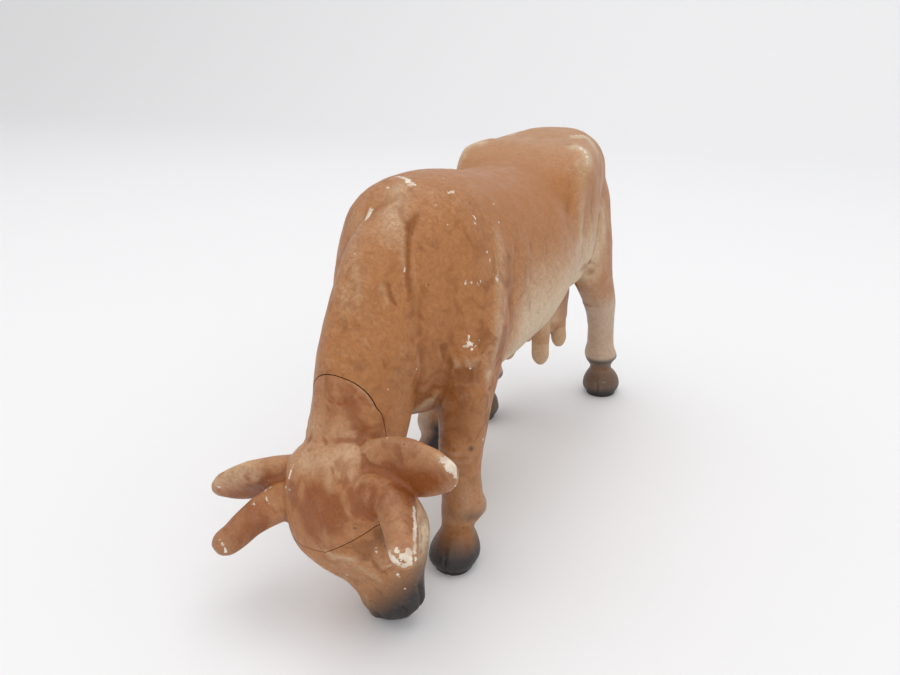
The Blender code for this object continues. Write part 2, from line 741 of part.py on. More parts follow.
def cut_joint(body, animal, name, rooms, colour):
    """One plugged piece: cut out of the animal by the rooms, and its socket out of the body.

    rooms makes the cutters for a given gap: the piece's room, then its spigot if it has one.
    """
    room, *pins = rooms(name + "_room", 0)
    piece = combine(copy_of(animal, name), room, "INTERSECT")
    for pin in pins:
        combine(piece, pin, "UNION")
    sockets = rooms(name + "_socket", GLUE_GAP)
    for socket in sockets:
        combine(body, socket, "DIFFERENCE")
    paint(piece, colour)
    return piece, [room, *pins, *sockets]


def build():
    clear_scene()
    animal = animal_skin()
    body = copy_of(animal, "body")
    paint(body, COAT_BROWN)
    pieces, cutters = [body], [animal]
    joints = [("crown", crown_rooms, CROWN_BROWN), ("udder", udder_rooms, UDDER_BROWN)]
    for name, side, _, room_shares, spigot_shares in LEGS:
        joints.append((name, partial(leg_rooms, side, room_shares, spigot_shares), LEG_BROWN))
    for name, rooms, colour in joints:
        piece, used = cut_joint(body, animal, name, rooms, colour)
        pieces.append(piece)
        cutters += used
    tail = tail_form("tail", 0)
    tail_socket = tail_form("tail_socket", GLUE_GAP)
    combine(body, tail_socket, "DIFFERENCE")
    paint(tail, TAIL_BROWN)
    pieces.append(tail)
    cutters.append(tail_socket)
    for piece in pieces:
        shade(piece)
    set_on_origin(pieces)
    file_away(pieces, cutters)


build()
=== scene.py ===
"""A grazing cow: a moulded and hand-painted toy farm animal, dressed for its picture.

The model is made as the toy was: rounded forms are melted into one skin, the skin is carved,
and then it is cut into the pieces that are glued together. Metres, +Z up; the head points
to -Y and the cow's left side is +X.
"""

import math

import bmesh
import bpy
import numpy as np
from mathutils import Matrix, Vector
from mathutils.bvhtree import BVHTree


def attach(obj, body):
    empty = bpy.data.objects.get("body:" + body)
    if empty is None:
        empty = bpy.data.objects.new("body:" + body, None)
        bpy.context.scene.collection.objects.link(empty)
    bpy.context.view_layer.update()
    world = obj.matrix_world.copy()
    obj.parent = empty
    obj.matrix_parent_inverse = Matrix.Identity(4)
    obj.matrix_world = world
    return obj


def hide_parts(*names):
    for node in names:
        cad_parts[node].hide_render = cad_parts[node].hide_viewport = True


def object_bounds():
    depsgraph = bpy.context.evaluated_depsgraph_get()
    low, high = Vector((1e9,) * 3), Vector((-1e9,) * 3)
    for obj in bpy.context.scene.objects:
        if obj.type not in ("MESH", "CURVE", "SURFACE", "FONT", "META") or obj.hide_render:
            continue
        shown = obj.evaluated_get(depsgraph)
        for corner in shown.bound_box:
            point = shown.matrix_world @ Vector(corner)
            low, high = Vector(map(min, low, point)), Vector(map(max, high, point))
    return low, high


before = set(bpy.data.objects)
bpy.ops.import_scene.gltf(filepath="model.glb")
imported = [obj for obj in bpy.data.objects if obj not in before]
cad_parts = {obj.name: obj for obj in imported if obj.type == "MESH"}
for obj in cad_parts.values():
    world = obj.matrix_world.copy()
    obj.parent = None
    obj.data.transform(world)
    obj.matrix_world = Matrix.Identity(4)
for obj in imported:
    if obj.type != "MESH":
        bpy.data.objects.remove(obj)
cad_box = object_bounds()

# The camera: a compact camera a little above the toy, looking down at it from the front
# left of the cow. It is solved on the paired points of the photographed figure, so it is
# made first: marks on the toy are placed through it.
IMAGE_WIDTH = 900
IMAGE_HEIGHT = 675
FOCAL_PIXELS = 830
CAMERA_PLACE = (0.0766, -0.1586, 0.1045)
CAMERA_TURN = math.radians(26.8)
CAMERA_DIP = math.radians(21.0)
CAMERA_ROLL = math.radians(-1.0)
FILM_WIDTH = 36
NEAREST_SEEN = 0.01

camera_data = bpy.data.cameras.new("camera")
camera_data.sensor_width = FILM_WIDTH
camera_data.lens = FOCAL_PIXELS / IMAGE_WIDTH * FILM_WIDTH
camera_data.clip_start = NEAREST_SEEN
camera = bpy.data.objects.new("camera", camera_data)
camera_turn = Matrix.Rotation(CAMERA_TURN, 3, "Z") @ Matrix.Rotation(math.pi / 2 - CAMERA_DIP, 3, "X")
camera_turn = camera_turn @ Matrix.Rotation(CAMERA_ROLL, 3, "Z")
camera.matrix_world = Matrix.Translation(CAMERA_PLACE) @ camera_turn.to_4x4()
bpy.context.scene.collection.objects.link(camera)
bpy.context.scene.camera = camera


def sight(pixel):
    """The direction from the camera through a pixel of the photograph."""
    u, v = pixel
    ray = Vector((u - IMAGE_WIDTH / 2, IMAGE_HEIGHT / 2 - v, -FOCAL_PIXELS))
    return (camera_turn @ ray).normalized()


# The trunk: the cow's barrel from chest to rump, in sections square to the back. The toy is
# solid soft plastic, and trunk, neck and face are its one main moulding.
WITHERS_HEIGHT = 0.0770
BACK_LENGTH = 0.1000
BARREL_HALF_WIDTH = 0.0190
TRUNK_RINGS = 90
RING_POINTS = 40

# Place along the back, half width, top, underside, how far up it is widest, squareness
TRUNK_SHARES = [
    (-0.470, 0.24, 0.740, 0.530, 0.50, 2.0),
    (-0.440, 0.47, 0.830, 0.470, 0.50, 2.0),
    (-0.390, 0.66, 0.935, 0.435, 0.50, 2.1),
    (-0.330, 0.80, 0.997, 0.418, 0.52, 2.4),
    (-0.260, 0.85, 1.010, 0.415, 0.50, 2.4),
    (-0.160, 0.91, 0.998, 0.420, 0.47, 2.3),
    (-0.040, 0.98, 0.970, 0.425, 0.46, 2.2),
    (0.080, 1.01, 0.955, 0.450, 0.48, 2.2),
    (0.175, 0.96, 0.950, 0.485, 0.52, 2.3),
    (0.225, 0.91, 0.960, 0.508, 0.66, 3.2),
    (0.270, 0.94, 0.982, 0.530, 0.75, 4.8),
    (0.360, 0.90, 0.992, 0.570, 0.71, 4.4),
    (0.450, 0.81, 1.005, 0.595, 0.64, 2.8),
    (0.510, 0.71, 1.005, 0.630, 0.60, 2.4),
    (0.550, 0.54, 0.980, 0.690, 0.58, 2.2),
    (0.575, 0.26, 0.920, 0.765, 0.50, 2.0),
]

forms = []


def smooth_rows(rows, count):
    """Rows of numbers carried through each other: between two rows every value follows the
    cubic that leaves the one and meets the other at their own slopes, evenly by distance."""
    rows = np.array(rows, float)
    steps = np.linalg.norm(np.diff(rows[:, :3], axis=0), axis=1)
    places = np.concatenate([[0.0], np.cumsum(steps)])
    slopes = np.gradient(rows, places, axis=0)
    wanted = np.linspace(0.0, places[-1], count)
    index = np.clip(np.searchsorted(places, wanted, side="right") - 1, 0, len(places) - 2)
    span = (places[index + 1] - places[index])[:, None]
    t = (wanted - places[index])[:, None] / span
    near, far = rows[index], rows[index + 1]
    return (
        near * (2 * t**3 - 3 * t**2 + 1)
        + far * (3 * t**2 - 2 * t**3)
        + slopes[index] * span * (t**3 - 2 * t**2 + t)
        + slopes[index + 1] * span * (t**3 - t**2)
    )


def outline(squareness):
    """A closed outline of unit half sizes: cosine and sine, each raised to two over the
    squareness, so that 2 is an ellipse and more has fuller corners. One row per section."""
    turn = np.linspace(0.0, math.tau, RING_POINTS, endpoint=False)
    power = 2 / np.reshape(squareness, (-1, 1))
    x, y = np.cos(turn), np.sin(turn)
    return np.sign(x) * np.abs(x) ** power, np.sign(y) * np.abs(y) ** power


def add_form(rings):
    """Keeps a closed skin over a grid of rings: corner i of ring j joins corner i + 1 and
    the same two of ring j + 1, and a flat face closes each end."""
    count, around = rings.shape[:2]
    ring, corner = np.meshgrid(np.arange(count - 1), np.arange(around), indexing="ij")
    near = ring * around + corner
    beside = ring * around + (corner + 1) % around
    quads = np.stack([near, beside, beside + around, near + around], axis=-1).reshape(-1, 4)
    last = (count - 1) * around
    ends = [list(range(around))[::-1], list(range(last, last + around))]
    forms.append((rings.reshape(-1, 3), quads.tolist() + ends))


trunk_rows = np.array(TRUNK_SHARES)
trunk_rows = np.column_stack(
    [
        np.zeros(len(trunk_rows)),
        trunk_rows[:, 0] * BACK_LENGTH,
        np.zeros(len(trunk_rows)),
        trunk_rows[:, 1] * BARREL_HALF_WIDTH,
        trunk_rows[:, 2:4] * WITHERS_HEIGHT,
        trunk_rows[:, 4:],
    ]
)
trunk_rows = smooth_rows(trunk_rows, TRUNK_RINGS)
trunk_x, trunk_z = outline(trunk_rows[:, 7])
trunk_top = trunk_rows[:, 4:5]
trunk_bottom = trunk_rows[:, 5:6]
trunk_middle = trunk_bottom + (trunk_top - trunk_bottom) * trunk_rows[:, 6:7]
trunk_reach = np.where(trunk_z > 0, trunk_top - trunk_middle, trunk_middle - trunk_bottom)
trunk_rings = np.stack(
    [
        trunk_x * trunk_rows[:, 3:4],
        np.repeat(trunk_rows[:, 1:2], RING_POINTS, axis=1),
        trunk_middle + trunk_z * trunk_reach,
    ],
    axis=-1,
)
add_form(trunk_rings)

# Bone and muscle under the skin on both sides: eggs that raise the hook bone, the pin bone,
# the shoulder and the thigh. Place, then half sizes.
PAD_SHARES = [
    ((0.740, 0.282, 0.930), (0.125, 0.055, 0.034)),
    ((0.289, 0.510, 0.922), (0.242, 0.058, 0.070)),
    ((0.575, -0.240, 0.701), (0.305, 0.110, 0.195)),
    ((0.600, 0.430, 0.710), (0.242, 0.120, 0.170)),
]
TRUNK_SIZES = np.array([BARREL_HALF_WIDTH, BACK_LENGTH, WITHERS_HEIGHT])
EGG_RINGS = 24
EGG_TIP_TURN = 0.05


def add_egg(place, half_sizes, turn=np.eye(3)):
    """An ellipsoid over longitude and latitude: cosines and sines times the half sizes. The
    latitude stops a small turn short of each tip, where a flat face closes it."""
    last = math.pi / 2 - EGG_TIP_TURN
    latitude = np.linspace(-last, last, EGG_RINGS)[:, None]
    longitude = np.linspace(0.0, math.tau, RING_POINTS, endpoint=False)[None, :]
    ball = np.stack(
        [
            np.cos(latitude) * np.cos(longitude),
            np.cos(latitude) * np.sin(longitude),
            np.sin(latitude) * np.ones_like(longitude),
        ],
        axis=-1,
    )
    add_form(ball * np.array(half_sizes) @ np.array(turn).T + np.array(place))


for pad_place, pad_sizes in PAD_SHARES:
    for side in (1, -1):
        place = np.array(pad_place) * TRUNK_SIZES * (side, 1, 1)
        add_egg(place, np.array(pad_sizes) * TRUNK_SIZES)

# The neck: bends down from the withers to the poll, in oval sections square to its path. It
# is solid plastic, moulded in one with the trunk.
NECK_HALF_WIDTH = 0.0088
NECK_HALF_DEPTH = 0.0094
NECK_RINGS = 60

# Centre x, y, z in shares of the trunk, half width, half depth
NECK_SHARES = [
    (0.00, -0.260, 0.740, 1.59, 1.91),
    (0.00, -0.340, 0.735, 1.27, 1.81),
    (0.00, -0.410, 0.690, 1.04, 1.49),
    (-0.01, -0.465, 0.605, 1.02, 1.17),
    (-0.04, -0.490, 0.505, 1.01, 1.03),
    (-0.10, -0.510, 0.415, 0.98, 0.98),
    (-0.14, -0.530, 0.350, 0.82, 0.80),
]


def limb_rings(rows, width_way, count, squareness=2):
    """Oval rings square to a path: each point is the centre, plus the cosine times the half
    width across the path, plus the sine times the half depth square to both."""
    rows = smooth_rows(rows, count)
    path = rows[:, :3]
    run = np.gradient(path, axis=0)
    run /= np.linalg.norm(run, axis=1)[:, None]
    across = np.array(width_way) - (run @ np.array(width_way))[:, None] * run
    across /= np.linalg.norm(across, axis=1)[:, None]
    up = np.cross(across, run)
    x, y = outline(squareness)
    wide = across[:, None, :] * (rows[:, 3:4] * x)[..., None]
    deep = up[:, None, :] * (rows[:, 4:5] * y)[..., None]
    return path[:, None, :] + wide + deep


def sized(shares, place_sizes, half_sizes):
    """Rows of shares as lengths: three for the centre, then the half sizes."""
    return np.array(shares) * np.concatenate([place_sizes, half_sizes])


neck_rows = sized(NECK_SHARES, TRUNK_SIZES, (NECK_HALF_WIDTH, NECK_HALF_DEPTH))
add_form(limb_rings(neck_rows, (1, 0, 0), NECK_RINGS))

# The head: hangs from the poll, leaned to the cow's left, with its own frame of left, down
# the face, and out of the forehead. The jaw is drawn in under the cheeks.
HEAD_LENGTH = 0.0360
HEAD_HALF_WIDTH = 0.0116
HEAD_DEPTH = 0.0122
HEAD_LEAN = math.radians(-19.7)
HEAD_TURN = math.radians(-4.4)
HEAD_TUCK = math.radians(5.5)
HEAD_SQUARENESS = 2.5
HEAD_RINGS = 70
POLL_SHARES = (-0.179, -0.599, 0.452)

# Place down the face, half width, how far out in front and behind
HEAD_SHARES = [
    (-0.04, 0.34, -0.04, 0.57),
    (0.01, 0.66, 0.15, 0.74),
    (0.11, 0.84, 0.38, 0.86),
    (0.25, 0.95, 0.57, 0.90),
    (0.38, 1.00, 0.64, 0.94),
    (0.49, 0.99, 0.57, 1.00),
    (0.60, 0.93, 0.39, 1.00),
    (0.71, 0.78, 0.20, 0.87),
    (0.82, 0.60, 0.13, 0.69),
    (0.91, 0.56, 0.12, 0.56),
    (0.97, 0.48, 0.07, 0.46),
    (1.00, 0.28, -0.05, 0.30),
]

head_turn = Matrix.Rotation(HEAD_TURN, 3, "Z") @ Matrix.Rotation(HEAD_LEAN, 3, "Y")
head_turn = head_turn @ Matrix.Rotation(HEAD_TUCK, 3, "X") @ Matrix(((1, 0, 0), (0, 0, -1), (0, -1, 0)))
head_turn = np.array(head_turn)
poll = np.array(POLL_SHARES) * TRUNK_SIZES
HEAD_SIZES = np.array([HEAD_HALF_WIDTH, HEAD_LENGTH, HEAD_DEPTH])


def on_head(points):
    """Points given to the left, down the face and out of it, as points of the whole figure."""
    return np.asarray(points) @ head_turn.T + poll


head_rows = np.array(HEAD_SHARES)
head_rows = np.column_stack(
    [
        np.zeros((len(head_rows), 2)),
        head_rows[:, 0] * HEAD_LENGTH,
        head_rows[:, 1] * HEAD_HALF_WIDTH,
        head_rows[:, 2:] * HEAD_DEPTH,
    ]
)
head_rows = smooth_rows(head_rows, HEAD_RINGS)
head_x, head_y = outline(HEAD_SQUARENESS)
head_front, head_back = head_rows[:, 4:5], head_rows[:, 5:6]
head_rings = np.stack(
    [
        head_x * head_rows[:, 3:4],
        np.repeat(head_rows[:, 2:3], RING_POINTS, axis=1),
        head_y * (head_front + head_back) / 2 + (head_front - head_back) / 2,
    ],
    axis=-1,
)
add_form(on_head(head_rings))

# The eyes: balls that stand a little out of the sides of the head. They are moulded in one
# with it, and the paint is only a little darker on them.
EYE_PLACE_SHARES = (0.840, 0.420, 0.080)
EYE_HALF_SIZE_SHARES = (0.200, 0.240, 0.200)

for side in (1, -1):
    eye_place = on_head(np.array(EYE_PLACE_SHARES) * HEAD_SIZES * (side, 1, 1))
    add_egg(eye_place, np.array(EYE_HALF_SIZE_SHARES) * HEAD_HALF_WIDTH, head_turn)

# The horns and ears: horns curve out and forward, ears lie flat with their hollow to the
# front. Both are moulded with the crown.
HORN_REACH = 0.0213
HORN_FORWARD = 0.0123
HORN_RADIUS = 0.0028
HORN_SAG = 0.0016
EAR_REACH = 0.0290
EAR_HALF_WIDTH = 0.0056
EAR_HALF_THICKNESS = 0.0026
RIGHT_EAR_TWIST_SHARE = 0.55
HORN_RINGS = 40
EAR_RINGS = 40

# Out to the side, down the face, forward, radius, share of the sag
HORN_SHARES = [
    (0.15, 0.22, 0.02, 1.36, 0.00),
    (0.42, 0.23, 0.04, 1.40, 0.00),
    (0.66, 0.25, 0.16, 1.25, 0.10),
    (0.82, 0.29, 0.48, 1.04, 0.45),
    (0.91, 0.33, 0.73, 0.92, 0.65),
    (0.98, 0.35, 0.92, 0.75, 0.90),
    (1.00, 0.36, 1.00, 0.43, 1.00),
]

# Out to the side, down the face, forward, half width, half thickness
EAR_SHARES = [
    (0.13, 0.15, -0.29, 0.64, 1.00),
    (0.33, 0.14, -0.25, 0.82, 0.95),
    (0.47, 0.14, -0.18, 0.96, 0.85),
    (0.64, 0.14, -0.08, 1.00, 0.70),
    (0.80, 0.14, 0.02, 0.84, 0.61),
    (0.93, 0.14, 0.11, 0.56, 0.50),
    (1.00, 0.14, 0.16, 0.28, 0.31),
]

for side in (1, -1):
    horn_sizes = (HORN_RADIUS, side * HORN_SAG)
    horn_rows = sized(HORN_SHARES, (side * HORN_REACH, HEAD_LENGTH, HORN_FORWARD), horn_sizes)
    horn_rows[:, 1] += horn_rows[:, 4]
    horn_rows[:, 4] = horn_rows[:, 3]
    horn_rows[:, :3] = on_head(horn_rows[:, :3])
    add_form(limb_rings(horn_rows, head_turn[:, 1], HORN_RINGS))
    ear_sizes = (EAR_HALF_WIDTH, EAR_HALF_THICKNESS)
    ear_rows = sized(EAR_SHARES, (side * EAR_REACH, HEAD_LENGTH, HEAD_DEPTH), ear_sizes)
    ear_rows[:, :3] = on_head(ear_rows[:, :3])
    ear_twist = RIGHT_EAR_TWIST_SHARE if side < 0 else 0
    ear_way = head_turn[:, 1] - ear_twist * head_turn[:, 2]
    add_form(limb_rings(ear_rows, ear_way, EAR_RINGS))

# The legs: level sections from inside the trunk down to the sole, in mid step. The hoof
# runs on below the ground and is cut flat there.
STANCE_HALF_WIDTH = 0.0125
LEG_HALF_WIDTH = 0.0052
LEG_HALF_DEPTH = 0.0057
LEG_SQUARENESS = 2.1
LEG_RINGS = 80
KNEE_SHARE = 0.345
HOCK_SHARE = 0.405

# Centre x, y, z, half width, half depth
FORELEG_LEFT_SHARES = [
    (0.76, -0.275, 0.830, 0.77, 1.40),
    (0.88, -0.275, 0.725, 1.19, 1.89),
    (0.93, -0.290, 0.625, 1.27, 1.77),
    (0.95, -0.305, 0.530, 1.11, 1.37),
    (0.95, -0.320, 0.460, 0.97, 1.08),
    (0.95, -0.330, 0.390, 0.86, 0.90),
    (0.95, -0.340, 0.325, 0.80, 0.82),
    (0.95, -0.340, 0.245, 0.76, 0.72),
    (0.98, -0.336, 0.170, 0.86, 0.86),
    (0.90, -0.345, 0.120, 0.70, 0.70),
    (0.87, -0.350, 0.085, 0.86, 0.90),
    (0.86, -0.355, 0.030, 1.00, 1.02),
    (0.86, -0.355, 0.000, 0.95, 0.95),
    (0.86, -0.355, -0.025, 0.88, 0.88),
]
FORELEG_RIGHT_SHARES = [
    (0.76, -0.270, 0.830, 0.77, 1.40),
    (0.88, -0.260, 0.725, 1.19, 1.89),
    (0.92, -0.230, 0.625, 1.27, 1.73),
    (0.91, -0.185, 0.530, 1.11, 1.37),
    (0.88, -0.135, 0.455, 0.97, 1.08),
    (0.84, -0.090, 0.385, 0.86, 0.92),
    (0.82, -0.050, 0.310, 0.81, 0.84),
    (0.81, -0.020, 0.235, 0.76, 0.72),
    (0.86, -0.012, 0.165, 0.86, 0.86),
    (0.85, -0.020, 0.120, 0.70, 0.70),
    (0.85, -0.030, 0.085, 0.86, 0.90),
    (0.86, -0.030, 0.030, 1.00, 1.02),
    (0.86, -0.030, 0.000, 0.95, 0.95),
    (0.86, -0.030, -0.025, 0.88, 0.88),
]
HINDLEG_LEFT_SHARES = [
    (0.83, 0.390, 0.885, 0.87, 2.28),
    (0.88, 0.400, 0.780, 1.15, 2.63),
    (0.93, 0.410, 0.675, 1.17, 2.42),
    (0.99, 0.430, 0.585, 1.08, 1.86),
    (1.03, 0.465, 0.495, 0.92, 1.38),
    (1.07, 0.510, 0.405, 0.84, 0.98),
    (1.07, 0.535, 0.325, 0.74, 0.80),
    (1.06, 0.553, 0.225, 0.73, 0.73),
    (1.06, 0.560, 0.168, 0.88, 0.88),
    (1.06, 0.570, 0.118, 0.63, 0.68),
    (1.05, 0.580, 0.082, 0.84, 0.86),
    (1.05, 0.585, 0.030, 1.02, 1.02),
    (1.05, 0.585, 0.000, 0.99, 0.98),
    (1.05, 0.585, -0.025, 0.92, 0.90),
]
HINDLEG_RIGHT_SHARES = [
    (0.83, 0.380, 0.885, 0.87, 2.28),
    (0.88, 0.380, 0.780, 1.15, 2.63),
    (0.93, 0.375, 0.675, 1.17, 2.42),
    (0.99, 0.370, 0.585, 1.04, 1.78),
    (1.01, 0.375, 0.495, 0.86, 1.32),
    (1.00, 0.385, 0.405, 0.84, 1.00),
    (1.01, 0.370, 0.325, 0.76, 0.82),
    (1.00, 0.329, 0.225, 0.73, 0.74),
    (0.97, 0.306, 0.155, 0.88, 0.90),
    (1.02, 0.291, 0.108, 0.64, 0.70),
    (1.03, 0.290, 0.075, 0.86, 0.88),
    (1.03, 0.285, 0.030, 1.02, 1.02),
    (1.03, 0.285, 0.000, 0.99, 0.98),
    (1.03, 0.285, -0.025, 0.92, 0.90),
]
LEG_FORMS = [
    (FORELEG_LEFT_SHARES, 1, KNEE_SHARE),
    (FORELEG_RIGHT_SHARES, -1, KNEE_SHARE),
    (HINDLEG_LEFT_SHARES, 1, HOCK_SHARE),
    (HINDLEG_RIGHT_SHARES, -1, HOCK_SHARE),
]


def leg_rows(shares, side):
    """A leg's level sections as lengths, carried smoothly through each other."""
    sizes = (side * STANCE_HALF_WIDTH, BACK_LENGTH, WITHERS_HEIGHT)
    return smooth_rows(sized(shares, sizes, (LEG_HALF_WIDTH, LEG_HALF_DEPTH)), LEG_RINGS)


def add_leg(rows):
    """Level oval rings: the cosine times the half width, the sine times the half depth."""
    x, y = outline(LEG_SQUARENESS)
    flat = np.stack([x * rows[:, 3:4], y * rows[:, 4:5], np.zeros((len(rows), RING_POINTS))], axis=-1)
    add_form(rows[:, None, :3] + flat)


for shares, side, _ in LEG_FORMS:
    add_leg(leg_rows(shares, side))

# The udder: a rounded bag between the hind legs with four teats. It is a soft plastic
# moulding of its own, with a plug on top that fills a seat in the belly.
UDDER_HALF_WIDTH = 0.0074
UDDER_HALF_LENGTH = 0.0096
UDDER_SEAT_SQUARENESS = 3.0
UDDER_RINGS = 40
TEAT_RADIUS = 0.0021
TEAT_DROP = 0.0170
TEAT_RINGS = 24

# Centre x, y, z, half width, half length
UDDER_SHARES = [
    (0.07, 0.350, 0.650, 0.90, 1.05),
    (0.07, 0.372, 0.560, 0.87, 1.42),
    (0.07, 0.375, 0.480, 0.86, 1.45),
    (0.07, 0.372, 0.410, 0.87, 1.38),
    (0.07, 0.365, 0.365, 0.84, 1.20),
    (0.07, 0.355, 0.335, 0.48, 0.70),
]
UDDER_MIDDLE_SHARES = (0.068, 0.372, 0.468)

# Teats: place on the udder and size. Their sections: drop, spread from the middle, radius
TEAT_SHARES = [(0.635, -1.000, 1.00), (-0.635, -1.000, 1.00), (0.635, 0.470, 0.96), (-0.635, 0.470, 0.96)]
TEAT_SECTION_SHARES = [
    (0.00, 0.70, 1.15),
    (0.41, 0.88, 1.22),
    (0.68, 0.97, 1.04),
    (0.92, 1.00, 0.90),
    (1.00, 1.00, 0.45),
]

UDDER_SIZES = np.array([UDDER_HALF_WIDTH, BACK_LENGTH, WITHERS_HEIGHT])
udder_rows = sized(UDDER_SHARES, UDDER_SIZES, (UDDER_HALF_WIDTH, UDDER_HALF_LENGTH))
add_form(limb_rings(udder_rows, (1, 0, 0), UDDER_RINGS, UDDER_SEAT_SQUARENESS))
udder_middle = np.array(UDDER_MIDDLE_SHARES) * UDDER_SIZES
teat_sections = np.array(TEAT_SECTION_SHARES)
for across, along, size in TEAT_SHARES:
    teat_radius = teat_sections[:, 2] * size * TEAT_RADIUS
    teat_rows = np.column_stack(
        [
            udder_middle[0] + across * teat_sections[:, 1] * UDDER_HALF_WIDTH,
            udder_middle[1] + along * teat_sections[:, 1] * UDDER_HALF_LENGTH,
            udder_middle[2] - teat_sections[:, 0] * TEAT_DROP,
            teat_radius,
            teat_radius,
        ]
    )
    add_form(limb_rings(teat_rows, (1, 0, 0), TEAT_RINGS))

# The modelled skin: all the forms melted together, as the sculptor smoothed them. It is
# moved so that the middle of its footprint is over the origin.
SKIN_GRAIN = 0.00047
SMOOTHING_PASSES = 7
SMOOTHING_STRENGTH = 0.5
FOOTPRINT_MIDDLE = np.array([0.00161, 0.00439, 0.0])


def new_object(name, points, faces):
    """An object whose mesh has these points and faces."""
    mesh = bpy.data.meshes.new(name)
    mesh.from_pydata(np.asarray(points).tolist(), [], faces)
    mesh.update()
    thing = bpy.data.objects.new(name, mesh)
    bpy.context.scene.collection.objects.link(thing)
    return thing


def turn_outward(thing):
    """Turns all faces of a closed mesh to the outside."""
    shape = bmesh.new()
    shape.from_mesh(thing.data)
    shape.normal_update()
    bmesh.ops.recalc_face_normals(shape, faces=shape.faces)
    shape.to_mesh(thing.data)
    shape.free()


def work_in(thing):
    """Works the modifiers of an object into its mesh."""
    graph = bpy.context.evaluated_depsgraph_get()
    data = bpy.data.meshes.new_from_object(thing.evaluated_get(graph))
    thing.modifiers.clear()
    thing.data = data
    return thing


def remove(thing):
    """Takes an object out of the scene."""
    bpy.data.objects.remove(thing)


form_points = np.concatenate([points for points, _ in forms]) + FOOTPRINT_MIDDLE
form_faces = []
first = 0
for points, faces in forms:
    form_faces += [[corner + first for corner in face] for face in faces]
    first += len(points)
skin = new_object("skin", form_points, form_faces)
turn_outward(skin)
melt = skin.modifiers.new("melt", "REMESH")
melt.mode = "VOXEL"
melt.voxel_size = SKIN_GRAIN
soften = skin.modifiers.new("soften", "SMOOTH")
soften.factor = SMOOTHING_STRENGTH
soften.iterations = SMOOTHING_PASSES
work_in(skin)

# The sculptor's marks: folds, ridges and grooves pressed into the skin. Each runs along the
# line that it has in the photograph and is repeated on the cow's other side.
camera_place = Vector(CAMERA_PLACE)
skin_tree = BVHTree.FromObject(skin, bpy.context.evaluated_depsgraph_get())


def vertex_places(thing):
    """The places of all vertices, one row each."""
    places = np.empty(len(thing.data.vertices) * 3)
    thing.data.vertices.foreach_get("co", places)
    return places.reshape(-1, 3)


def vertex_normals(thing):
    """The unit normals of all vertices, one row each."""
    normals = np.empty(len(thing.data.vertices) * 3)
    thing.data.vertex_normals.foreach_get("vector", normals)
    return normals.reshape(-1, 3)


def on_skin(pixels):
    """Where the lines of sight through these pixels meet the skin."""
    return np.array([skin_tree.ray_cast(camera_place, sight(pixel))[0] for pixel in pixels])


def laid_on_skin(path):
    """The points of the skin that are nearest to these."""
    return np.array([skin_tree.find_nearest(Vector(point))[0] for point in path])


def other_flank(path):
    """The same path on the cow's other flank."""
    return laid_on_skin(path * (-1, 1, 1) + FOOTPRINT_MIDDLE * (2, 0, 0))


def in_head(places):
    """Places to the left, down the face and out of it, in shares of the head's sizes."""
    return (places - FOOTPRINT_MIDDLE - poll) @ head_turn / HEAD_SIZES


def from_head(shares):
    """Shares of the head's sizes as places of the whole figure."""
    return on_head(np.asarray(shares) * HEAD_SIZES) + FOOTPRINT_MIDDLE


def other_cheek(path):
    """The same path on the other side of the head."""
    return laid_on_skin(from_head(in_head(path) * (-1, 1, 1)))


def near_path(places, path):
    """The distance from each place to a path of straight runs, and at what share of the
    path's length it is nearest."""
    distance = np.full(len(places), np.inf)
    share = np.zeros(len(places))
    lengths = np.linalg.norm(np.diff(path, axis=0), axis=1)
    starts = np.concatenate([[0.0], np.cumsum(lengths)])
    for start, near, far, length in zip(starts, path, path[1:], lengths):
        run = (far - near) / length
        along = np.clip((places - near) @ run, 0, length)
        gap = np.linalg.norm(places - near - along[:, None] * run, axis=1)
        closer = gap < distance
        distance = np.where(closer, gap, distance)
        share = np.where(closer, (start + along) / starts[-1], share)
    return distance, share


def bell(value):
    """One at nought, falling away like a bell on both sides."""
    return np.exp(-(value**2))


def soft(value, low, high):
    """Nought up to the first limit, one from the second, and a smooth slope between them."""
    t = np.clip((value - low) / (high - low), 0, 1)
    return t * t * (3 - 2 * t)


def carve(path, width, depth):
    """Raises the skin along a path by the depth times a bell of the distance over the width,
    fading out at both ends. A depth below nought sinks it."""
    reach = 3 * width
    low, high = path.min(axis=0) - reach, path.max(axis=0) + reach
    close = np.all((skin_places > low) & (skin_places < high), axis=1)
    distance, share = near_path(skin_places[close], path)
    relief[close] += depth * bell(distance / width) * np.clip(6 * share * (1 - share), 0, 1)


def carve_all(marks, lay, repeat=None):
    """Carves a table of marks: width and depth in millimetres, and the points of the line.
    One function lays the points on the skin, another repeats the line on the other side."""
    for width, depth, points in marks:
        path = lay(points)
        carve(path, width / 1000, depth / 1000)
        if repeat:
            carve(repeat(path), width / 1000, depth / 1000)


def laid_on_head(shares):
    """The points of the skin nearest to these shares of the head's sizes."""
    return laid_on_skin(from_head(shares))


def laid_on_belly(shares):
    """The points of the skin nearest to these shares of the trunk's sizes."""
    return laid_on_skin(np.array(shares) * TRUNK_SIZES + FOOTPRINT_MIDDLE)


LUMP_CUBES = 32


def lumps(places, size, seed):
    """Uneven heights: a random height at every corner of a grid of cubes of this size,
    blended inside each cube by smooth weights along x, y and z."""
    grid = places / size
    base = np.floor(grid).astype(int)
    t = grid - base
    t = t * t * (3 - 2 * t)
    heights = np.random.default_rng(seed).uniform(-1, 1, (LUMP_CUBES, LUMP_CUBES, LUMP_CUBES))
    total = np.zeros(len(places))
    for step in np.ndindex(2, 2, 2):
        corner = (base + step) % LUMP_CUBES
        weight = np.prod(np.where(step, t, 1 - t), axis=1)
        total += weight * heights[corner[:, 0], corner[:, 1], corner[:, 2]]
    return total


skin_places = vertex_places(skin)
relief = np.zeros(len(skin_places))

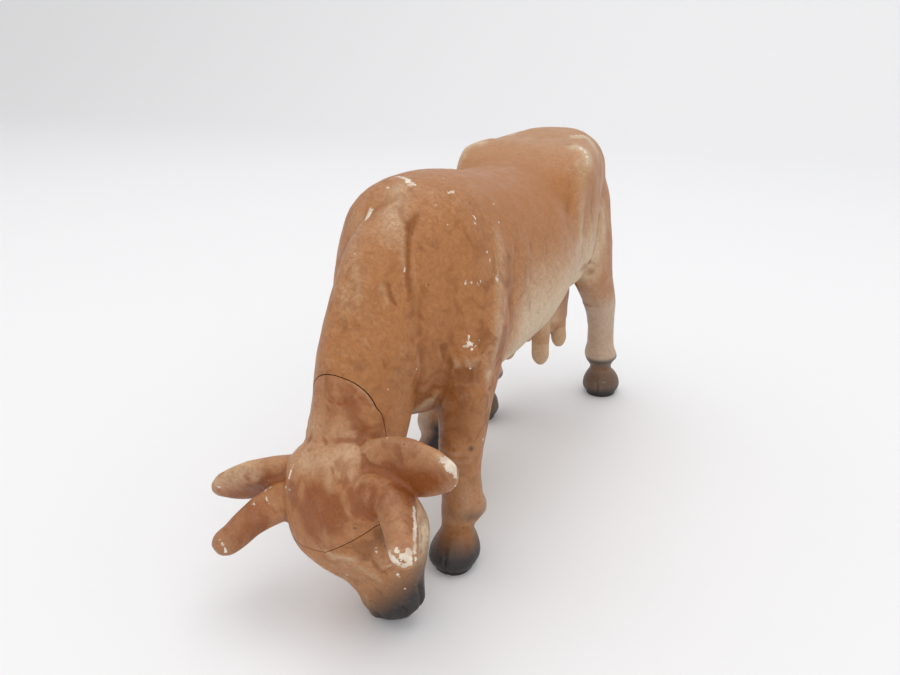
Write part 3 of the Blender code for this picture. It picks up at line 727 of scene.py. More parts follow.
# Width and depth in millimetres, then the pixels of the line. Shoulder blade, chest, elbow,
# ribs, hook bone, thigh and stifle
FLANK_MARKS = [
    (2.00, 0.15, [(428, 205), (430, 228), (428, 255), (426, 285)]),
    (1.80, 0.34, [(497, 215), (498, 240), (501, 268), (499, 293), (496, 325), (494, 352), (488, 372)]),
    (0.70, 0.16, [(505, 290), (500, 318), (496, 345), (490, 366)]),
    (2.20, -0.50, [(515, 232), (517, 262), (514, 292), (509, 318)]),
    (1.40, 0.25, [(452, 361), (468, 364), (482, 358), (490, 346)]),
    (1.60, -0.50, [(452, 373), (463, 376), (474, 375)]),
    (0.45, 0.20, [(450, 384), (460, 385), (470, 385)]),
    (0.45, -0.18, [(455, 388), (466, 390), (476, 389)]),
    (0.50, -0.45, [(442, 343), (444, 351), (447, 359), (451, 368)]),
    (0.55, -0.35, [(431, 387), (438, 389), (446, 388)]),
    (0.50, -0.25, [(455, 352), (462, 362), (466, 374)]),
    (1.20, -0.20, [(530, 232), (532, 262), (530, 290)]),
    (1.20, -0.18, [(545, 228), (547, 255), (546, 278)]),
    (1.20, 0.40, [(570, 142), (579, 147), (586, 153), (588, 163)]),
    (1.70, 0.24, [(585, 160), (582, 183), (580, 213), (579, 235), (581, 257)]),
    (2.00, -0.34, [(571, 170), (570, 195), (569, 222), (570, 245)]),
    (1.60, 0.22, [(601, 180), (603, 213), (605, 240)]),
    (1.30, -0.24, [(593, 180), (593, 212), (594, 240)]),
    (0.90, -0.26, [(580, 270), (585, 265), (592, 263), (601, 266)]),
    (0.45, -0.22, [(558, 280), (552, 288), (545, 297)]),
]
carve_all(FLANK_MARKS, on_skin, other_flank)

# Folds of the neck and brisket and the lips, which cross the middle and have no pair
NECK_MARKS = [
    (0.70, -0.50, [(418, 213), (414, 218), (411, 226), (409.5, 240), (409, 256), (409, 275), (411, 300)]),
    (2.20, 0.30, [(402, 178), (398, 195), (397, 215), (397, 240), (398, 270)]),
    (1.30, 0.40, [(417, 336), (417.5, 360), (417, 386)]),
    (0.60, -0.30, [(387, 278), (388.5, 284), (392, 297), (399, 309)]),
    (1.20, 0.14, [(381, 280), (384, 294), (390, 309)]),
    (0.45, -0.14, [(420, 287), (430, 293), (441, 301)]),
    (0.50, -0.12, [(370, 307), (382, 314), (396, 322)]),
    (0.80, -0.18, [(338, 256), (335, 282), (333, 310)]),
    (0.80, -0.12, [(350, 270), (352, 296), (350, 322)]),
    (0.60, -0.12, [(350, 318), (362, 330), (380, 340)]),
    (0.60, 0.10, [(358, 338), (372, 350), (388, 360)]),
    (0.50, -0.12, [(400, 330), (414, 342), (430, 350)]),
    (0.50, -0.14, [(387, 372), (398, 362), (412, 356)]),
    (0.50, -0.16, [(392, 392), (402, 380), (414, 372)]),
    (0.40, -0.10, [(376, 246), (384, 252), (394, 257)]),
    (0.40, -0.10, [(380, 254), (388, 260), (398, 264)]),
    (0.40, -0.10, [(412, 244), (424, 250), (436, 259)]),
    (0.40, -0.10, [(422, 262), (434, 268), (446, 277)]),
    (0.40, -0.10, [(412, 310), (424, 319), (436, 331)]),
    (0.40, -0.12, [(355, 352), (366, 361), (378, 368)]),
    (0.40, -0.12, [(330, 352), (342, 360), (356, 364)]),
    (0.90, 0.28, [(366, 593), (368, 600), (371, 607)]),
    (0.80, -0.30, [(374, 611), (378, 615), (385, 618)]),
]
carve_all(NECK_MARKS, on_skin)

# The same on the head, from the pixels of its left or right half: brow, cheek, jaw, the
# bases of the ears and horns, and the folds on the nape
CHEEK_MARKS = [
    (0.40, -0.22, [(393, 456), (397, 459), (401, 464)]),
    (0.50, -0.30, [(378, 489), (372, 500), (370, 512)]),
    (0.45, -0.35, [(383, 576), (388, 571), (395, 566)]),
    (0.60, 0.30, [(421, 545), (424, 532), (425, 521)]),
    (0.55, 0.25, [(428, 539), (427, 531)]),
    (0.50, -0.14, [(326, 402), (343, 400), (359, 406)]),
    (0.45, -0.12, [(329, 413), (342, 415), (355, 421)]),
    (0.50, -0.14, [(352, 426), (360, 434), (364, 446)]),
    (0.45, -0.12, [(318, 428), (324, 438), (327, 450)]),
]
carve_all(CHEEK_MARKS, on_skin, other_cheek)

# Mouth, nostrils, eyelids, brow ridge and ear hollows, in shares of the head: width and
# depth in millimetres, then the left, down and forward shares
HEAD_MARKS = [
    (0.40, -0.60, [(0.60, 0.79, -0.30), (0.60, 0.86, -0.26), (0.52, 0.94, -0.20), (0.34, 1.00, -0.16)]),
    (0.60, -0.65, [(0.36, 0.885, 0.12), (0.42, 0.925, 0.08), (0.36, 0.965, 0.06)]),
    (0.60, 0.30, [(0.26, 0.87, 0.14), (0.28, 0.93, 0.12), (0.24, 0.98, 0.06)]),
    (0.35, -0.40, [(0.92, 0.335, 0.02), (1.00, 0.355, 0.12), (1.00, 0.415, 0.26), (0.95, 0.49, 0.20)]),
    (0.35, -0.40, [(0.92, 0.335, 0.02), (0.98, 0.38, -0.08), (1.00, 0.46, -0.04), (0.95, 0.49, 0.20)]),
    (0.80, 0.45, [(0.85, 0.29, 0.00), (0.92, 0.31, 0.18), (0.90, 0.38, 0.36)]),
    (0.60, -0.30, [(0.62, 0.50, 0.40), (0.55, 0.60, 0.34), (0.50, 0.70, 0.26)]),
    (1.00, 0.30, [(0.40, 0.52, 0.58), (0.36, 0.64, 0.38), (0.34, 0.76, 0.22)]),
    (1.30, -0.25, [(1.15, 0.185, 0.08), (1.50, 0.190, 0.14), (1.85, 0.185, 0.22), (2.10, 0.180, 0.26)]),
]
carve_all(HEAD_MARKS, laid_on_head, other_cheek)

# On the lower legs: widths, depths and heights of the marks, and the turn from the front of
# the leg to a dewclaw
SOLE_DRAWN_IN = 0.00110
PASTERN_DEPTH = 0.00040
CLEFT_WIDTH = 0.00030
CLEFT_DEPTH = 0.00034
CLEFT_RIM_PLACE = 0.00090
CLEFT_RIM_WIDTH = 0.00050
CLEFT_RIM_HEIGHT = 0.00012
HEEL_WIDTH = 0.00060
HEEL_DEPTH = 0.00045
DEWCLAW_TURN = 2.35
TENDON_TURN = 0.85 * DEWCLAW_TURN
TENDON_WIDTH = 0.00070
TENDON_DEPTH = 0.00030
CAP_TURN = 0.9
CAP_HEIGHT = 0.00030
CAP_SPREAD_SHARE = 0.034
WRINKLE_HEIGHT = 0.00009
WRINKLE_STEP_SHARE = 0.0105

# The dewclaw, the crease under it and the hollow over it: how far each stands out, its width
# round the leg, its place over the ground and its half height
DEWCLAW_SPOTS = [
    (0.00095, 0.0015, 0.0112, 0.0015),
    (-0.00035, 0.0018, 0.0083, 0.0010),
    (-0.00045, 0.0030, 0.0155, 0.0018),
]


def carve_leg(shares, side, knee):
    """Marks a leg by the angle round it and the height: a cleft hoof under a soft step, two
    dewclaws behind, hollows beside the tendon and a knee cap with wrinkles. Each mark is
    a bell of the distance from its own line or spot."""
    rows = leg_rows(shares, side)[::-1]
    places = skin_places - FOOTPRINT_MIDDLE
    height = places[:, 2]
    columns = [np.interp(height, rows[:, 2], rows[:, k]) for k in (0, 1, 3, 4)]
    centre_x, centre_y, half_width, half_depth = columns
    across = (places[:, 0] - centre_x) / half_width
    along = (places[:, 1] - centre_y) / half_depth
    own = (across**2 + along**2 < 2.2) & (height < 0.40 * WITHERS_HEIGHT)
    angle = np.arctan2(side * across, -along)
    radius = np.sqrt(half_width * half_depth)
    share = height / WITHERS_HEIGHT
    marks = -SOLE_DRAWN_IN * soft(share, 0.045, 0.000) ** 1.5
    marks -= PASTERN_DEPTH * soft(share, 0.055, 0.100) * soft(share, 0.150, 0.110)
    bent_angle = angle - 0.10 + 1.6 * (share - 0.05)
    cleft = bell(bent_angle * radius / CLEFT_WIDTH)
    marks -= CLEFT_DEPTH * cleft * soft(share, 0.095, 0.075) * soft(share, 0.012, 0.035)
    rim = bell((np.abs(bent_angle) * radius - CLEFT_RIM_PLACE) / CLEFT_RIM_WIDTH)
    marks += CLEFT_RIM_HEIGHT * rim * soft(share, 0.09, 0.06)
    heel = bell((np.abs(angle) - math.pi) * radius / HEEL_WIDTH)
    marks -= HEEL_DEPTH * heel * soft(share, 0.10, 0.06)
    for way in (1, -1):
        from_claw = (angle - way * DEWCLAW_TURN) * radius
        for rise, spot_width, spot_place, spot_height in DEWCLAW_SPOTS:
            spot = bell(from_claw / spot_width) * bell((height - spot_place) / spot_height)
            marks += rise * spot
        tendon = bell((angle - way * TENDON_TURN) * radius / TENDON_WIDTH)
        marks -= TENDON_DEPTH * tendon * soft(share, 0.18, 0.21) * soft(share, 0.36, 0.30)
    cap = bell(angle / CAP_TURN) * bell((share - knee) / CAP_SPREAD_SHARE)
    wrinkles = np.cos((share - knee) / WRINKLE_STEP_SHARE * math.pi + 0.9 * angle)
    marks += cap * (CAP_HEIGHT - WRINKLE_HEIGHT * wrinkles)
    relief[own] += marks[own]


for shares, side, knee in LEG_FORMS:
    carve_leg(shares, side, knee)

# The udder's quarters, the navel line and the brisket, in shares of the trunk
UNDERSIDE_MARKS = [
    (0.70, -0.55, [(0.025, 0.240, 0.36), (0.025, 0.372, 0.33), (0.025, 0.500, 0.38)]),
    (0.70, -0.35, [(-0.30, 0.345, 0.40), (0.025, 0.350, 0.33), (0.35, 0.345, 0.40)]),
    (0.90, 0.40, [(0.00, -0.400, 0.44), (0.00, -0.250, 0.41), (0.00, -0.100, 0.41), (0.00, 0.050, 0.43)]),
]
carve_all(UNDERSIDE_MARKS, laid_on_belly)

# The unevenness of hand modelling: height and size of the lumps, how the grid is stretched,
# and the seed of the random heights
SKIN_LUMPS = [
    (0.00016, 0.0062, (1, 1, 1), 3),
    (0.00008, 0.0026, (1, 1, 0.7), 5),
    (0.00004, 0.0013, (1, 0.8, 0.7), 6),
]
for lump_height, lump_size, stretch, seed in SKIN_LUMPS:
    relief += lump_height * lumps(skin_places * stretch, lump_size, seed)

# The rounded corners of the muzzle, the flat of the hips over the thigh and beside the tail
# head, and the coarse hair of the forehead
MUZZLE_CORNER_DEPTH = 0.0007
THIGH_DEPTH = 0.0005
TAIL_HEAD_DEPTH = 0.0004
FOREHEAD_SPREAD_SHARES = (0.7, 0.05, 0.5)
FOREHEAD_LUMP_HEIGHT = 0.00016
FOREHEAD_LUMP_SIZE = 0.0019
FOREHEAD_SEED = 8

side, down, out = in_head(skin_places).T
corner = soft(down, 0.90, 1.02) * soft(np.abs(side), 0.18, 0.50) * soft(out, -0.9, -0.4)
relief -= MUZZLE_CORNER_DEPTH * corner
x, y, z = ((skin_places - FOOTPRINT_MIDDLE) / TRUNK_SIZES).T
hip = bell((np.abs(x) - 0.95) / 0.35) * bell((y - 0.42) / 0.14)
relief -= hip * (THIGH_DEPTH * soft(z, 0.62, 0.74) + TAIL_HEAD_DEPTH * bell((z - 0.96) / 0.08))
from_forehead = (in_head(skin_places) - (0.0, 0.28, 0.6)) ** 2 / FOREHEAD_SPREAD_SHARES
forehead = np.exp(-np.sum(from_forehead, axis=1))
relief += FOREHEAD_LUMP_HEIGHT * forehead * lumps(skin_places, FOREHEAD_LUMP_SIZE, FOREHEAD_SEED)
skin_places += vertex_normals(skin) * relief[:, None]

# The skin is eased back into the box of the solids, but down at the legs it keeps its height
# and runs on below the ground, where the soles are cut
BOX_EASING = 0.0006
KEPT_BELOW = 0.03


def within(places, box, give):
    """Eases places back inside a box: past one give from a wall, the way that is left shrinks
    smoothly to nothing."""
    low, high = (np.array(corner) for corner in box)
    for wall, way in ((high, 1), (low, -1)):
        over = (places - wall) * way + give
        eased = np.where(over > 0, give * (1 - np.exp(-over / give)), over)
        places = wall + way * (eased - give)
    return places


heights = skin_places[:, 2].copy()
skin_places = within(skin_places, cad_box, BOX_EASING)
skin_places[:, 2] = np.where(heights < KEPT_BELOW, heights, skin_places[:, 2])
skin.data.vertices.foreach_set("co", skin_places.ravel())
skin.data.update()

# The paint masks: how pale, how deep in colour, how dark, how bent and how worn the surface
# is at each place. The pale mask also holds painted highlights and sheen, the deep mask painted
# shade in creases, on the ears' lower halves and under the neck, and the worn mask two painted
# glints of light. The photograph shows the brown sprayed thin below the flanks, deep on the
# forehead, ears and legs, and dark on the muzzle and hooves.

# Chips: the pixel of each in the photograph, and its radius in millimetres
CHIPS = [
    ((386, 190), 0.25),
    ((388, 188), 0.30),
    ((363, 217), 0.20),
    ((381, 183), 0.12),
    ((355, 254), 0.14),
    ((350, 275), 0.14),
    ((420, 182), 0.12),
    ((427, 180), 0.20),
    ((433, 182), 0.12),
    ((441, 182), 0.14),
    ((444, 178), 0.12),
    ((435, 205), 0.22),
    ((447, 225), 0.14),
    ((487, 227), 0.16),
    ((479, 240), 0.20),
    ((487, 253), 0.22),
    ((490, 261), 0.16),
    ((493, 203), 0.14),
    ((499, 222), 0.16),
    ((480, 281), 0.34),
    ((421, 371), 0.12),
    ((387, 388), 0.16),
    ((470, 368), 0.16),
    ((483, 440), 0.40),
    ((444, 460), 0.60),
    ((448, 463), 0.80),
    ((451, 468), 0.85),
    ((455, 473), 0.65),
    ((219, 487), 0.35),
    ((389, 553), 0.55),
    ((392, 559), 0.70),
    ((396, 551), 0.45),
    ((397, 564), 0.75),
    ((403, 558), 0.80),
    ((409, 553), 0.80),
    ((410, 561), 0.75),
    ((404, 566), 0.55),
    ((390, 566), 0.30),
    ((386, 561), 0.25),
    ((425, 532), 0.25),
    ((428, 540), 0.15),
    ((404, 590), 0.14),
    ((387, 589), 0.16),
    ((381, 606), 0.12),
    ((414, 585), 0.16),
    ((408, 615), 0.14),
    ((347, 575), 0.12),
    ((275, 485), 0.18),
    ((270, 487), 0.18),
    ((581, 150), 0.45),
]

# Scratches, and two painted glints of light on the left hind hoof: half width in millimetres,
# and the pixels along each
SCRATCHES_AND_GLINTS = [
    (0.42, [(397, 176), (403, 177), (409, 181), (414, 185)]),
    (0.30, [(407, 181), (408, 185), (410, 190)]),
    (0.42, [(371, 210), (369, 214), (367, 218)]),
    (0.12, [(446, 191), (450, 193), (454, 191)]),
    (0.15, [(473, 215), (477, 220)]),
    (0.15, [(474, 222), (479, 225)]),
    (0.18, [(404, 266), (405, 272)]),
    (0.36, [(495, 273), (497, 281)]),
    (0.10, [(466, 280), (466, 284)]),
    (0.12, [(471, 281), (473, 285)]),
    (0.12, [(477, 281), (479, 287)]),
    (0.18, [(469, 337), (468, 341)]),
    (0.12, [(472, 335), (473, 337)]),
    (0.18, [(476, 338), (478, 341)]),
    (0.22, [(465, 346), (470, 344)]),
    (0.14, [(475, 342), (473, 346)]),
    (0.14, [(475, 345), (477, 349)]),
    (0.14, [(468, 349), (472, 350)]),
    (0.14, [(415, 368), (416, 373), (418, 375)]),
    (0.14, [(294, 463), (292, 470), (289, 478)]),
    (0.14, [(285, 486), (290, 490)]),
    (0.12, [(266, 484), (265, 495), (268, 503)]),
    (0.12, [(253, 501), (259, 514)]),
    (0.30, [(573, 146), (579, 148), (585, 152), (588, 163)]),
    (0.22, [(571, 136), (583, 135), (591, 139), (599, 149)]),
    (0.30, [(439, 457), (450, 460), (456, 468), (458, 478)]),
    # Along the edge of the left horn: worn paint with a painted highlight.
    (0.42, [(413.5, 508), (415, 530), (414, 552)]),
    (0.14, [(376, 548), (376, 556)]),
    (0.12, [(395, 572), (400, 577)]),
    (0.20, [(219, 532), (222, 543), (226, 551)]),
    # These two are painted glints of light on the left hind hoof, drawn as bare cream plastic.
    (0.08, [(597, 381), (604, 383)]),
    (0.10, [(602, 393), (609, 392)]),
    (0.08, [(441, 536), (443, 545)]),
]
chip_places = on_skin([pixel for pixel, _ in CHIPS])
chip_sizes = np.array([size for _, size in CHIPS]) / 1000
scratch_and_glint_paths = [(size / 1000, on_skin(pixels)) for size, pixels in SCRATCHES_AND_GLINTS]
UNWORN_DISTANCE = 0.004


def chip_and_glint_distance(places):
    """How far each place is outside the nearest chip, scratch or painted glint, in millimetres,
    below nought inside it."""
    distance = np.full(len(places), UNWORN_DISTANCE)
    for centre, size in zip(chip_places, chip_sizes):
        distance = np.minimum(distance, np.linalg.norm(places - centre, axis=1) - size)
    for size, path in scratch_and_glint_paths:
        distance = np.minimum(distance, near_path(places, path)[0] - size)
    return distance * 1000


# Where the paint is deeper in colour or carries painted shade, where it is rubbed or sprayed
# thinner or carries a painted highlight, and where it is dark or, below nought, less dark:
# amount, width in millimetres, and the pixels of the streak
DEEP_AND_SHADE_STREAKS = [
    # These four lie in carved folds of the shoulder, neck, chest and elbow: painted shade in the creases.
    (0.70, 0.75, [(417, 215), (412, 222), (409.5, 236), (409, 255), (409, 275), (410.5, 290)]),
    (0.60, 0.6, [(388, 284), (390, 292), (392, 299)]),
    (0.70, 0.5, [(443, 348), (446, 356), (450, 366)]),
    (0.80, 1.6, [(455, 374), (463, 375), (472, 376)]),
    (0.50, 1.8, [(458, 392), (462, 410), (464, 432)]),
    (0.50, 1.2, [(436, 380), (425, 396), (414, 405)]),
    (0.35, 3.2, [(448, 318), (446, 335)]),
    (0.30, 2.5, [(415, 300), (420, 320)]),
    # This streak and the next lie in a fold of the neck and the hollow behind the shoulder: painted shade in
    # the creases.
    (0.40, 1.0, [(352, 322), (362, 329)]),
    (0.55, 1.8, [(509, 262), (511, 290), (509, 325)]),
    (0.30, 1.4, [(486, 280), (485, 310), (481, 335)]),
    # This streak and the next lie in the groove on the hip and the fold at the stifle: painted shade in the
    # creases.
    (0.30, 1.8, [(594, 178), (594, 210), (595, 238)]),
    (0.60, 1.6, [(583, 268), (592, 272)]),
    (0.90, 1.4, [(291, 486), (294, 500)]),
    (0.90, 2.4, [(226, 537), (238, 523), (250, 510)]),
    (0.60, 0.5, [(300, 478), (296, 492)]),
    (1.00, 2.4, [(316, 496), (322, 512), (328, 524)]),
    (0.80, 1.8, [(304, 512), (310, 530)]),
    (0.70, 1.2, [(334, 500), (340, 520)]),
    (0.95, 1.9, [(366, 496), (372, 512)]),
    (0.60, 0.9, [(380, 500), (384, 514)]),
    (0.95, 1.5, [(366, 548), (366, 558)]),
    (0.50, 0.7, [(382, 543), (383, 560)]),
    (0.50, 1.6, [(350, 408), (360, 425)]),
    (0.45, 1.6, [(332, 412), (326, 428)]),
    (0.50, 1.2, [(247, 488), (262, 484), (272, 480)]),
    (0.55, 1.8, [(240, 522), (252, 512)]),
    (0.60, 0.7, [(403, 545), (407, 547)]),
    # In a fold of the left ear: painted shade.
    (0.50, 1.5, [(400, 462), (388, 466)]),
    (0.40, 1.5, [(310, 460), (322, 470)]),
]
PALE_AND_HIGHLIGHT_STREAKS = [
    # These two: painted highlights along the ridges behind the shoulder.
    (0.40, 2.0, [(497, 235), (498, 262), (499, 290), (497, 320), (494, 350), (489, 370)]),
    (0.40, 0.6, [(505, 300), (501, 330), (494, 362)]),
    (0.45, 1.0, [(488, 375), (488, 400), (484, 425)]),
    (0.20, 2.2, [(457, 361), (470, 364), (482, 358)]),
    # This streak and the next: painted sheen on the withers, and a painted highlight along the crest of the
    # neck.
    (0.34, 3.0, [(397, 192), (393, 215), (392, 238)]),
    (0.30, 3.0, [(358, 225), (354, 265), (350, 305)]),
    # A painted highlight on the raised rim under the crown's joint.
    (0.45, 0.5, [(345, 382), (357, 387), (367, 395), (374, 407)]),
    (0.26, 2.6, [(584, 172), (581, 205), (580, 240)]),
    (0.26, 2.4, [(603, 185), (604, 212), (605, 238)]),
    # This streak and the next: painted highlights on the worn pale rims of the hips.
    (0.45, 1.6, [(574, 147), (584, 150), (589, 160)]),
    (0.45, 1.1, [(574, 137), (588, 137), (599, 150)]),
    (0.35, 2.0, [(440, 398), (440, 404)]),
    (0.90, 3.0, [(424, 419), (424, 434)]),
    (0.70, 1.7, [(421, 407), (427, 402), (434, 400)]),
    # Worn paint with a painted highlight along the edge of the left horn.
    (0.55, 0.9, [(413, 505), (415, 530), (413, 552)]),
    (0.50, 1.6, [(392, 552), (398, 562)]),
    (0.55, 1.8, [(348, 478), (360, 486)]),
    (0.45, 0.8, [(327, 482), (332, 500)]),
    (0.45, 1.0, [(352, 500), (350, 515)]),
    (0.40, 0.9, [(318, 546), (334, 556), (350, 560)]),
    (0.35, 2.2, [(305, 462), (330, 470)]),
    (0.35, 2.5, [(350, 455), (372, 462)]),
    (0.45, 1.0, [(433, 488), (446, 490)]),
    (0.20, 2.4, [(465, 478), (468, 508)]),
    # Worn paint with a painted highlight along the rim round the left ear's tip.
    (0.75, 0.9, [(440, 457), (451, 461), (457, 470), (457, 480), (451, 487)]),
]
DARK_STREAKS = [
    (0.85, 1.9, [(438, 430), (437, 438), (434, 445)]),
    (-0.25, 2.0, [(464, 534), (472, 540)]),
    (0.90, 0.45, [(470.5, 448), (471.5, 449)]),
    (0.35, 1.2, [(470, 518), (480, 516)]),
]

BEND_HEIGHT = 0.00004
BEND_PASSES = 5
HIND_LEGS_FROM_SHARE = 0.15


def streaked(amounts, places, streaks):
    """The amounts with those of the streaks: each counts times a bell of the distance to it
    over its width."""
    for amount, width, pixels in streaks:
        distance = near_path(places, on_skin(pixels))[0]
        amounts = amounts + amount * bell(distance / (width / 1000))
    return amounts


def on_both_flanks(places):
    """The places with those of the right flank turned over to the left."""
    turned = places - FOOTPRINT_MIDDLE
    behind = (turned[:, 1] > -0.03) & (turned[:, 2] > 0.04)
    turned[:, 0] = np.where(behind, np.abs(turned[:, 0]), turned[:, 0])
    return turned + FOOTPRINT_MIDDLE


def bend(thing):
    """How the surface bends: each vertex's height under the middle of its neighbours, which
    is above nought on ridges, spread over the neighbourhood by repeated averaging."""
    places = vertex_places(thing)
    edges = np.empty(len(thing.data.edges) * 2, dtype=np.int32)
    thing.data.edges.foreach_get("vertices", edges)
    near, far = edges.reshape(-1, 2).T
    both = np.concatenate([near, far])
    other = np.concatenate([far, near])
    count = np.maximum(np.bincount(both, minlength=len(places)), 1)

    def neighbours(values):
        return np.bincount(both, weights=values[other], minlength=len(places)) / count

    middle = np.stack([neighbours(places[:, k]) for k in range(3)], axis=1)
    height = np.sum((places - middle) * vertex_normals(thing), axis=1)
    if "sharp_edge" in thing.data.attributes:
        sharp = np.empty(len(thing.data.edges), dtype=bool)
        thing.data.attributes["sharp_edge"].data.foreach_get("value", sharp)
        height[near[sharp]] = 0
        height[far[sharp]] = 0
    height = np.clip(height / BEND_HEIGHT, -1, 1)
    for _ in range(BEND_PASSES):
        height = 0.5 * height + 0.5 * neighbours(height)
    return height


def set_mask(thing, name, values):
    """Stores one value per vertex on the mesh."""
    layer = thing.data.attributes.new(name, "FLOAT", "POINT")
    layer.data.foreach_set("value", values.astype(np.float32))


def set_masks(thing):
    """Works out all masks from where each vertex lies on the animal: x, y and z in shares of
    the trunk, and side, down and out in shares of the head. Each mask is a sum of amounts
    times the smooth slopes and bells that bound where they count."""
    places = vertex_places(thing)
    x, y, z = ((places - FOOTPRINT_MIDDLE) / TRUNK_SIZES).T
    side, down, out = in_head(places).T
    head = soft(y, -0.44, -0.50) * soft(z, 0.62, 0.50)
    leg = soft(z, 0.40, 0.33) * (1 - head)
    trunk = (1 - head) * (1 - leg)
    behind = y > HIND_LEGS_FROM_SHARE
    flanks = on_both_flanks(places)

    # Pale: the belly and lower flanks, though not over the right foreleg, and the rump
    flank = soft(y, -0.25, -0.12) * soft(y, 0.46, 0.30)
    flank *= 1 - soft(-x, 0.35, 0.60) * soft(z, 0.56, 0.42) * soft(y, 0.14, 0.04)
    pale_and_highlight = 0.95 * trunk * flank * soft(z, 0.88, 0.54)
    pale_and_highlight += 0.18 * trunk * soft(y, 0.14, 0.30) * soft(z, 0.60, 0.76)
    # The face below the eyes, and the left and the right cheek
    cheeks = bell((down - 0.58) / 0.16)
    pale_and_highlight += 0.24 * head * soft(down, 0.40, 0.52)
    pale_and_highlight += 0.75 * head * cheeks * bell((side - 1.0) / 0.30) * soft(out, 0.1, -0.3)
    pale_and_highlight += 0.60 * head * cheeks * bell((side + 1.0) / 0.35)
    # The hind legs, thinning out above the hooves, and the shins of the forelegs
    hind = soft(y, 0.10, 0.20) * soft(z, 0.50, 0.35) * (0.4 + 0.6 * soft(z, 0.115, 0.165))
    hind *= np.where(z < 0.33, 1, soft(np.abs(x), 0.45, 0.60))
    pale_and_highlight += hind * (1 - head)
    pale_and_highlight += 0.22 * leg * ~behind * soft(z, 0.32, 0.22) * soft(z, 0.13, 0.19)
    # The upper edge of the right ear, lighter as painted light from above, the poll, and the top
    # of the back, lighter as painted sheen
    pale_and_highlight += 0.68 * head * soft(-side, 0.95, 1.5) * soft(down, 0.18, 0.07)
    pale_and_highlight += 0.38 * head * soft(np.abs(side), 1.0, 0.6) * soft(down, 0.12, 0.0)
    pale_and_highlight += 0.15 * trunk * soft(z, 0.88, 0.97)

    # Deep: the forehead, the right horn, the lower halves of both ears, darker there as painted
    # shade under the rims, and the left ear and horn
    deep = 0.25 * head * soft(down, 0.50, 0.38) * soft(down, 0.02, 0.16)
    deep += head * soft(-side, 0.95, 1.15) * soft(out, 0.40, 0.50)
    deep += 0.68 * head * soft(side, 1.25, 1.5) * soft(out, 0.45, 0.2) * soft(down, 0.075, 0.165)
    deep += 0.70 * head * soft(-side, 1.35, 1.7) * soft(out, 0.40, 0.2) * soft(down, 0.12, 0.21)
    deep += 0.22 * head * soft(side, 0.95, 1.25)
    # The chest under the neck, darker lower down as painted shade, and the forelegs
    deep += 0.40 * trunk * soft(z, 0.72, 0.58) * soft(y, -0.18, -0.30)
    deep += 0.35 * leg * ~behind

    # Dark: the hooves, fading out above them, the muzzle and the eyes
    fore_hoof = soft(z, 0.170, 0.030) + 0.22 * bell((z - 0.178) / 0.020)
    hind_hoof = 0.72 * soft(z, 0.178, 0.152) + 0.16 * bell((z - 0.155) / 0.012)
    hind_hoof += 0.28 * soft(z, 0.050, 0.008) - 0.14 * bell((z - 0.112) / 0.020)
    dark = np.where(behind, hind_hoof, fore_hoof) * leg
    dark += head * soft(down + 0.15 * side, 0.69, 0.99)
    eye = bell((np.abs(side) - 0.84) / 0.22) * bell((down - 0.42) / 0.07) * bell((out - 0.1) / 0.3)
    dark += 0.45 * head * eye

    # Coarse: how strong the hair strokes are, which the back, barrel and legs have less of
    back = soft(z, 0.80, 0.95) * soft(y, -0.30, -0.18)
    coarse = np.clip(1 - 0.75 * back - 0.45 * trunk * soft(y, -0.20, 0.0) - 0.5 * leg, 0.15, 1)
    set_mask(thing, "coarse", coarse)
    set_mask(thing, "pale_and_highlight", np.clip(streaked(pale_and_highlight, flanks, PALE_AND_HIGHLIGHT_STREAKS), 0, 1))
    set_mask(thing, "deep", np.clip(streaked(deep, flanks, DEEP_AND_SHADE_STREAKS), 0, 1))
    set_mask(thing, "dark", np.clip(streaked(dark, places, DARK_STREAKS), 0, 1))
    set_mask(thing, "bend", bend(thing))
    set_mask(thing, "chip_and_glint", chip_and_glint_distance(places))


# The pieces: crown, udder and legs are mouldings of their own, glued to the body. Each is cut
# out of the skin where its joint runs, and what is left of the skin is the body. A fine gap
# stays open along the joints.
CUTS_IN = "INTERSECT"
CUTS_OFF = "DIFFERENCE"
OVERRUN = 0.0200


def copy_of(thing, name):
    """A second object with its own copy of the mesh."""
    twin = bpy.data.objects.new(name, thing.data.copy())
    bpy.context.scene.collection.objects.link(twin)
    return twin


def cut(thing, other, operation):
    """Cuts one closed skin by another."""
    boolean = thing.modifiers.new("cut", "BOOLEAN")
    boolean.operation = operation
    boolean.object = other
    boolean.solver = "MANIFOLD"
    return work_in(thing)


def room(name, rings):
    """A closed cutter over two or more rings of points."""
    forms.clear()
    add_form(np.array(rings, float) + FOOTPRINT_MIDDLE)
    points, faces = forms.pop()
    thing = new_object(name, points, faces)
    turn_outward(thing)
    return thing


def part_off(name, gap, make_room, *shape):
    """A piece cut out of the skin by a closed room. The room, wider by the gap, is also cut
    off the body."""
    piece = copy_of(skin, name)
    for thing, operation, widening in ((piece, CUTS_IN, 0), (body, CUTS_OFF, gap)):
        cutter = make_room(*shape, widening)
        cut(thing, cutter, operation)
        remove(cutter)
    return piece


body = copy_of(skin, "body_skin")

